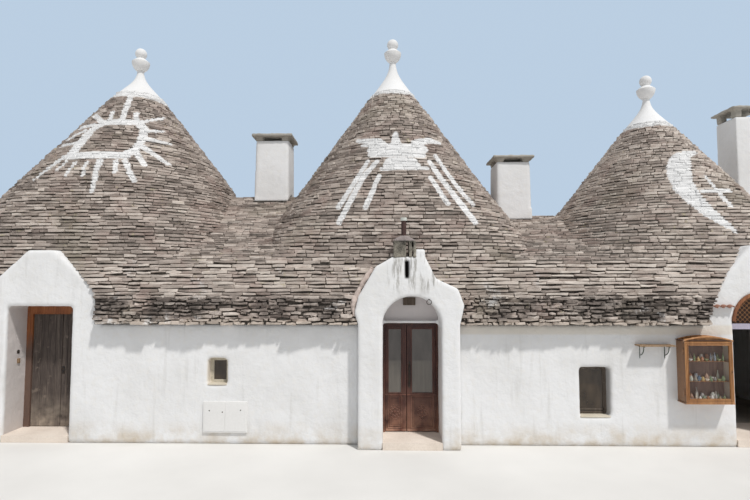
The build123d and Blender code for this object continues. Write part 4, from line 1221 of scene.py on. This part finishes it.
def glazedPot(name):
    # Small glazed ware, each pot with a colour of its own
    material, tree, shader = newMaterial(name, 0.3, 0.5)
    own = addNode(tree, "ShaderNodeAttribute", attribute_name="tone")
    point = objectPoint(tree)
    mottle = noiseOf(tree, point, 60.0, 3.0)
    value = calc(tree, "MULTIPLY_ADD", mottle, 0.08, own.outputs["Fac"])
    colour = rampOf(tree, value, (
        (0.10, (0.42, 0.19, 0.10)), (0.26, (0.72, 0.66, 0.56)), (0.42, (0.10, 0.16, 0.24)),
        (0.58, (0.62, 0.42, 0.16)), (0.74, (0.16, 0.24, 0.13)), (0.92, (0.78, 0.76, 0.72)),
    ))
    join(tree, colour, shader.inputs["Base Color"])
    bumpTo(tree, shader, ((mottle, 0.0008),))
    return material


rng = random.Random(23)
pots = []
for level in (0.8555, 1.1845, 1.5330):
    for start, depth, scale in ((0.075, -3.375, 0.72), (0.10, -3.275, 1.0)):
        x = case["left"] + start
        while x < case["right"] - 0.08:
            kind = rng.choice(("jar", "jar", "bottle", "bowl", "cone"))
            grow = rng.uniform(0.72, 1.0) * scale
            profile = tuple((radius * grow, height * grow) for radius, height in potProfiles[kind])
            pots.append(((x, depth, level), (0, 0, 1), profile, rng.random()))
            x += rng.uniform(0.088, 0.105) * scale
addPiece("casePots", turnedMesh("pots", pots, 14), glazedPot("glazedPot"), "house", None, True)

# Brackets under the shelf, and a rail of the meter cabinet's two doors
for index, x in enumerate((4.36, 4.80)):
    addPiece("shelfBracket" + "LR"[index], rodMesh("bracket", [
        [(x, -3.203, 1.777), (x, -3.203, 1.55)],
        [(x, -3.203, 1.771), (x, -3.39, 1.771)],
        [(x, -3.203 - 0.15 * math.sin(a), 1.61 + 0.15 * (1 - math.cos(a))) for a in [math.pi / 2 * n / 8 for n in range(9)]],
    ], 0.007), greenIron, "house", None, True)
meter = {"left": -3.483, "right": -2.683, "low": 0.213, "high": 0.759}
middle = (meter["left"] + meter["right"]) / 2
addPiece("meterDoors", sawnMesh("doors", [
    (meter["left"] + 0.02, middle - 0.003, -3.246, -3.239, meter["low"] + 0.02, meter["high"] - 0.02),
    (middle + 0.003, meter["right"] - 0.02, -3.246, -3.239, meter["low"] + 0.02, meter["high"] - 0.02),
]), cabinetWhite)
addPiece("meterLocks", turnedMesh("locks", [
    ((x, -3.2455, z), (0, -1, 0), ((0.011, 0.0), (0.011, 0.003), (0.007, 0.005)), 0.5)
    for x, z in ((meter["left"] + 0.115, 0.60), (middle - 0.05, 0.575), (meter["right"] - 0.12, 0.61))
], 12), darkIron)

# Bell push on the reveal, ring in the middle gable, vent under the arch
addPiece("bellPush", turnedMesh("bell", [
    ((-7.194, -2.86, 1.585), (1, 0, 0), ((0.036, 0.0), (0.036, 0.010), (0.027, 0.014), (0.012, 0.016), (0.011, 0.022)), 0.5),
], 18), darkIron, "house", None, True)
addPiece("bellBox", sawnMesh("box", [
    (-7.198, -7.165, -2.885, -2.825, 1.37, 1.46), (-7.170, -7.160, -2.875, -2.835, 1.39, 1.44),
], 0.004), shelfWood)
ironRing = [
    (0.575 + 0.042 * math.sin(a), -3.502, 2.56 - 0.042 * math.cos(a)) for a in [2 * math.pi * n / 24 for n in range(24)]
]
addPiece("gableRing", rodMesh("ring", [ironRing], 0.006, True), darkIron, "house", None, True)
addPiece("gableStaple", rodMesh("staple", [[
    (0.565, -3.47, 2.607), (0.565, -3.505, 2.607), (0.575, -3.512, 2.607), (0.585, -3.505, 2.607), (0.585, -3.47, 2.607),
]], 0.005), darkIron, "house", None, True)
vent = {"left": 0.152, "right": 0.356, "low": 2.490, "high": 2.606, "y": -2.868}
slats = [
    (vent["left"], vent["right"], vent["y"] - 0.010, vent["y"] - 0.002, z, z + 0.017)
    for z in np.linspace(vent["low"], vent["high"] - 0.017, 5)
]
slats += frameBoxes(vent["left"], vent["right"], vent["low"], vent["high"], 0.014, vent["y"] - 0.018, vent["y"] + 0.03)
slats.append((vent["left"] - 0.002, vent["right"] + 0.002, vent["y"], vent["y"] + 0.03, vent["low"], vent["high"]))
addPiece("archVent", sawnMesh("vent", slats, 0.0015), ventWood, "house", "window_wood")

# Shop doorway: rim round the arch and a turned-lattice panel under it
shop = {"x": 6.56, "half": 0.52, "spring": 2.21, "crown": 2.725, "faceY": -3.19, "panelY": -2.912}


def archPoints(inset, steps=32):
    # Along the arch, from its left springing to its right, inset from the masonry
    rise = shop["crown"] - shop["spring"]
    radius = (shop["half"] ** 2 + rise ** 2) / (2 * rise)
    centre = shop["crown"] - radius
    sweep = math.asin(min(shop["half"] / radius, 1.0))
    return [
        (shop["x"] + (radius - inset) * math.sin(turn), centre + (radius - inset) * math.cos(turn))
        for turn in [sweep * (2 * step / steps - 1) for step in range(steps + 1)]
    ]


rim = bmesh.new()
rings = []
for (x1, z1), (x2, z2) in zip(archPoints(-0.012), archPoints(0.038)):
    rings.append([
        rim.verts.new(place) for place in ((x1, -3.216, z1), (x2, -3.216, z2), (x2, -3.10, z2), (x1, -3.10, z1))
    ])
for first, second in zip(rings, rings[1:]):
    for index in range(4):
        after = (index + 1) % 4
        rim.faces.new((first[index], first[after], second[after], second[index]))
rim.faces.new(rings[0])
rim.faces.new(reversed(rings[-1]))
bmesh.ops.recalc_face_normals(rim, faces=rim.faces[:])
rimMesh = bpy.data.meshes.new("rim")
rim.to_mesh(rimMesh)
rim.free()
addPiece("shopArchRim", rimMesh, archWood, "house", "old_orange_wood")

panel = bmesh.new()
outline = archPoints(0.012)
base = [(outline[-1][0], 2.152), (outline[0][0], 2.152)]
front = [panel.verts.new((x, shop["panelY"], z)) for x, z in outline + base]
back = [panel.verts.new((x, shop["panelY"] + 0.02, z)) for x, z in outline + base]
panel.faces.new(front)
panel.faces.new(reversed(back))
for index in range(len(front)):
    after = (index + 1) % len(front)
    panel.faces.new((front[index], back[index], back[after], front[after]))
bmesh.ops.recalc_face_normals(panel, faces=panel.faces[:])
panelMesh = bpy.data.meshes.new("panel")
panel.to_mesh(panelMesh)
panel.free()


def latticeWood(name):
    # Brown lattice with small turned bosses, cut in low relief
    material, tree, shader = newMaterial(name, 0.6, 0.35)
    point = objectPoint(tree, (1, 1, 1), (0, math.radians(45), 0))
    x, y, z = splitPoint(tree, point)
    mask = None
    for value in (x, z):
        wave = calc(tree, "ABSOLUTE", calc(tree, "SINE", calc(tree, "MULTIPLY", value, 52.0)))
        mask = wave if mask is None else calc(tree, "MULTIPLY", mask, wave)
    fibre = noiseOf(tree, objectPoint(tree, (1, 1, 0.1)), 80.0, 4.0)
    bars = spread(tree, mask, 0.18, 0.4)
    light = rampOf(tree, fibre, ((0.35, (0.22, 0.10, 0.045)), (0.65, (0.42, 0.22, 0.10))))
    colour = blendColours(tree, bars, light, (0.05, 0.024, 0.015))
    join(tree, colour, shader.inputs["Base Color"])
    bumpTo(tree, shader, ((calc(tree, "SUBTRACT", 1.0, bars), 0.006), (fibre, 0.001)))
    return material


addPiece("shopArchPanel", panelMesh, latticeWood("latticeWood"), "house", "old_orange_wood")

# Clay tiles let into the right gable as a drip ledge
tiles = {"from": 5.60, "to": 6.04, "count": 4, "z": 2.45, "reach": 0.085}
tileShape = bmesh.new()
width = (tiles["to"] - tiles["from"]) / tiles["count"]
for index in range(tiles["count"]):
    centre = tiles["from"] + width * (index + 0.5)
    rows = []
    for depth, drop in ((-3.18, 0.03), (-3.21 - tiles["reach"], 0.0)):
        row = []
        for lift, turns in ((1.0, range(9)), (0.78, reversed(range(9)))):
            for turn in turns:
                angle = math.pi * turn / 8
                row.append(tileShape.verts.new((
                    centre - 0.5 * width * lift * math.cos(angle), depth, tiles["z"] + drop + 0.36 * width * lift * math.sin(angle),
                )))
        rows.append(row)
    for index2 in range(len(rows[0])):
        after = (index2 + 1) % len(rows[0])
        tileShape.faces.new((rows[0][index2], rows[0][after], rows[1][after], rows[1][index2]))
    tileShape.faces.new(rows[0])
    tileShape.faces.new(reversed(rows[1]))
bmesh.ops.recalc_face_normals(tileShape, faces=tileShape.faces[:])
tileMesh = bpy.data.meshes.new("tiles")
tileShape.to_mesh(tileMesh)
tileShape.free()
addPiece("gableTiles", tileMesh, tileClay)

# Mortar fillet where the roof meets the middle gable, and the loose stone on the left chimney
filletPlaster = plainStone("filletPlaster", (0.50, 0.40, 0.36), (0.72, 0.62, 0.56), 14.0, 0.01)
filletPath = [(-0.755, -3.36, 2.30), (-0.765, -3.35, 2.45), (-0.735, -3.34, 2.62), (-0.645, -3.33, 2.81), (-0.53, -3.31, 3.01), (-0.42, -3.28, 3.19)]
fillet = rodMesh("fillet", [[
    tuple(Vector(first).lerp(Vector(second), share / 9))
    for first, second in zip(filletPath, filletPath[1:]) for share in range(9)
]], 0.044)
for vertex in fillet.vertices:
    vertex.co += vertex.normal * (0.03 * noise.noise(vertex.co * 8.0) + 0.02 * noise.noise(vertex.co * 23.0))
addPiece("gableFillet", fillet, filletPlaster, "house", None, True)
capStone = bmesh.new()
bmesh.ops.create_icosphere(capStone, subdivisions=3, radius=1.0)
for vertex in capStone.verts:
    vertex.co = Vector((vertex.co.x * 0.12, vertex.co.y * 0.10, max(vertex.co.z, -0.6) * 0.085)) * (
        1 + 0.35 * noise.noise(vertex.co * 1.7)
    ) + Vector((-3.03, 0.0, 6.55))
capMesh = bpy.data.meshes.new("capStone")
capStone.to_mesh(capMesh)
capStone.free()
addPiece("chimneyPeakStone", capMesh, slabStone, "house", None, True)
print("trullo: small things fixed")


# Floor, light and camera

ground = bpy.data.meshes.new("studioFloor")
ground.from_pydata([(-90, -60, 0), (90, -60, 0), (90, 90, 0), (-90, 90, 0)], [], [(0, 1, 2, 3)])
floorPiece = bpy.data.objects.new("studioFloor", ground)
scene.collection.objects.link(floorPiece)
floorPiece.location.z = -0.002
floorMaterial, floorTree, floorShader = newMaterial("paleFloor", 0.9, 0.1)
floorTint = rampOf(
    floorTree, noiseOf(floorTree, objectPoint(floorTree), 0.6, 3.0), ((0.3, (0.70, 0.69, 0.67)), (0.7, (0.76, 0.75, 0.73)))
)
join(floorTree, floorTint, floorShader.inputs["Base Color"])
ground.materials.append(floorMaterial)

light = {"sunStrength": 2.5, "sunSoftness": 4.0, "skyStrength": 0.5, "sunFrom": (0.48, -0.62, 1.25)}
sun = bpy.data.lights.new("keySun", "SUN")
sun.energy = light["sunStrength"]
sun.angle = math.radians(light["sunSoftness"])
sun.color = (1.0, 0.975, 0.94)
sunObject = bpy.data.objects.new("keySun", sun)
sunObject.rotation_mode = "QUATERNION"
sunObject.rotation_quaternion = (-Vector(light["sunFrom"])).to_track_quat("-Z", "Y")
scene.collection.objects.link(sunObject)

world = bpy.data.worlds.new("studio")
world.use_nodes = True
scene.world = world
sky = world.node_tree
for node in list(sky.nodes):
    sky.nodes.remove(node)
path = addNode(sky, "ShaderNodeLightPath")
seen = calc(sky, "MAXIMUM", path.outputs["Is Camera Ray"], path.outputs["Is Transmission Ray"])
seen = calc(sky, "MAXIMUM", seen, path.outputs["Is Glossy Ray"])
soft = addNode(sky, "ShaderNodeBackground")
soft.inputs["Color"].default_value = (0.93, 0.96, 1.0, 1)
soft.inputs["Strength"].default_value = light["skyStrength"]
shown = addNode(sky, "ShaderNodeBackground")
shown.inputs["Color"].default_value = (0.50, 0.62, 0.76, 1)
shown.inputs["Strength"].default_value = 1.0
mix = addNode(sky, "ShaderNodeMixShader")
join(sky, seen, mix.inputs["Fac"])
join(sky, soft.outputs[0], mix.inputs[1])
join(sky, shown.outputs[0], mix.inputs[2])
skyOut = addNode(sky, "ShaderNodeOutputWorld")
join(sky, mix.outputs[0], skyOut.inputs["Surface"])

cameraSettings = {"place": (-0.2, -12.35, 2.95), "up": 3.43, "left": 1.146, "lens": 24.0}
cameraData = bpy.data.cameras.new("camera")
cameraData.lens = cameraSettings["lens"]
cameraData.sensor_width = 36.0
cameraData.sensor_fit = "HORIZONTAL"
cameraData.clip_end = 500
camera = bpy.data.objects.new("camera", cameraData)
camera.location = cameraSettings["place"]
camera.rotation_euler = (math.radians(90 + cameraSettings["up"]), 0, math.radians(cameraSettings["left"]))
scene.collection.objects.link(camera)
scene.camera = camera
scene.view_settings.view_transform = "Standard"

print("trullo: done")
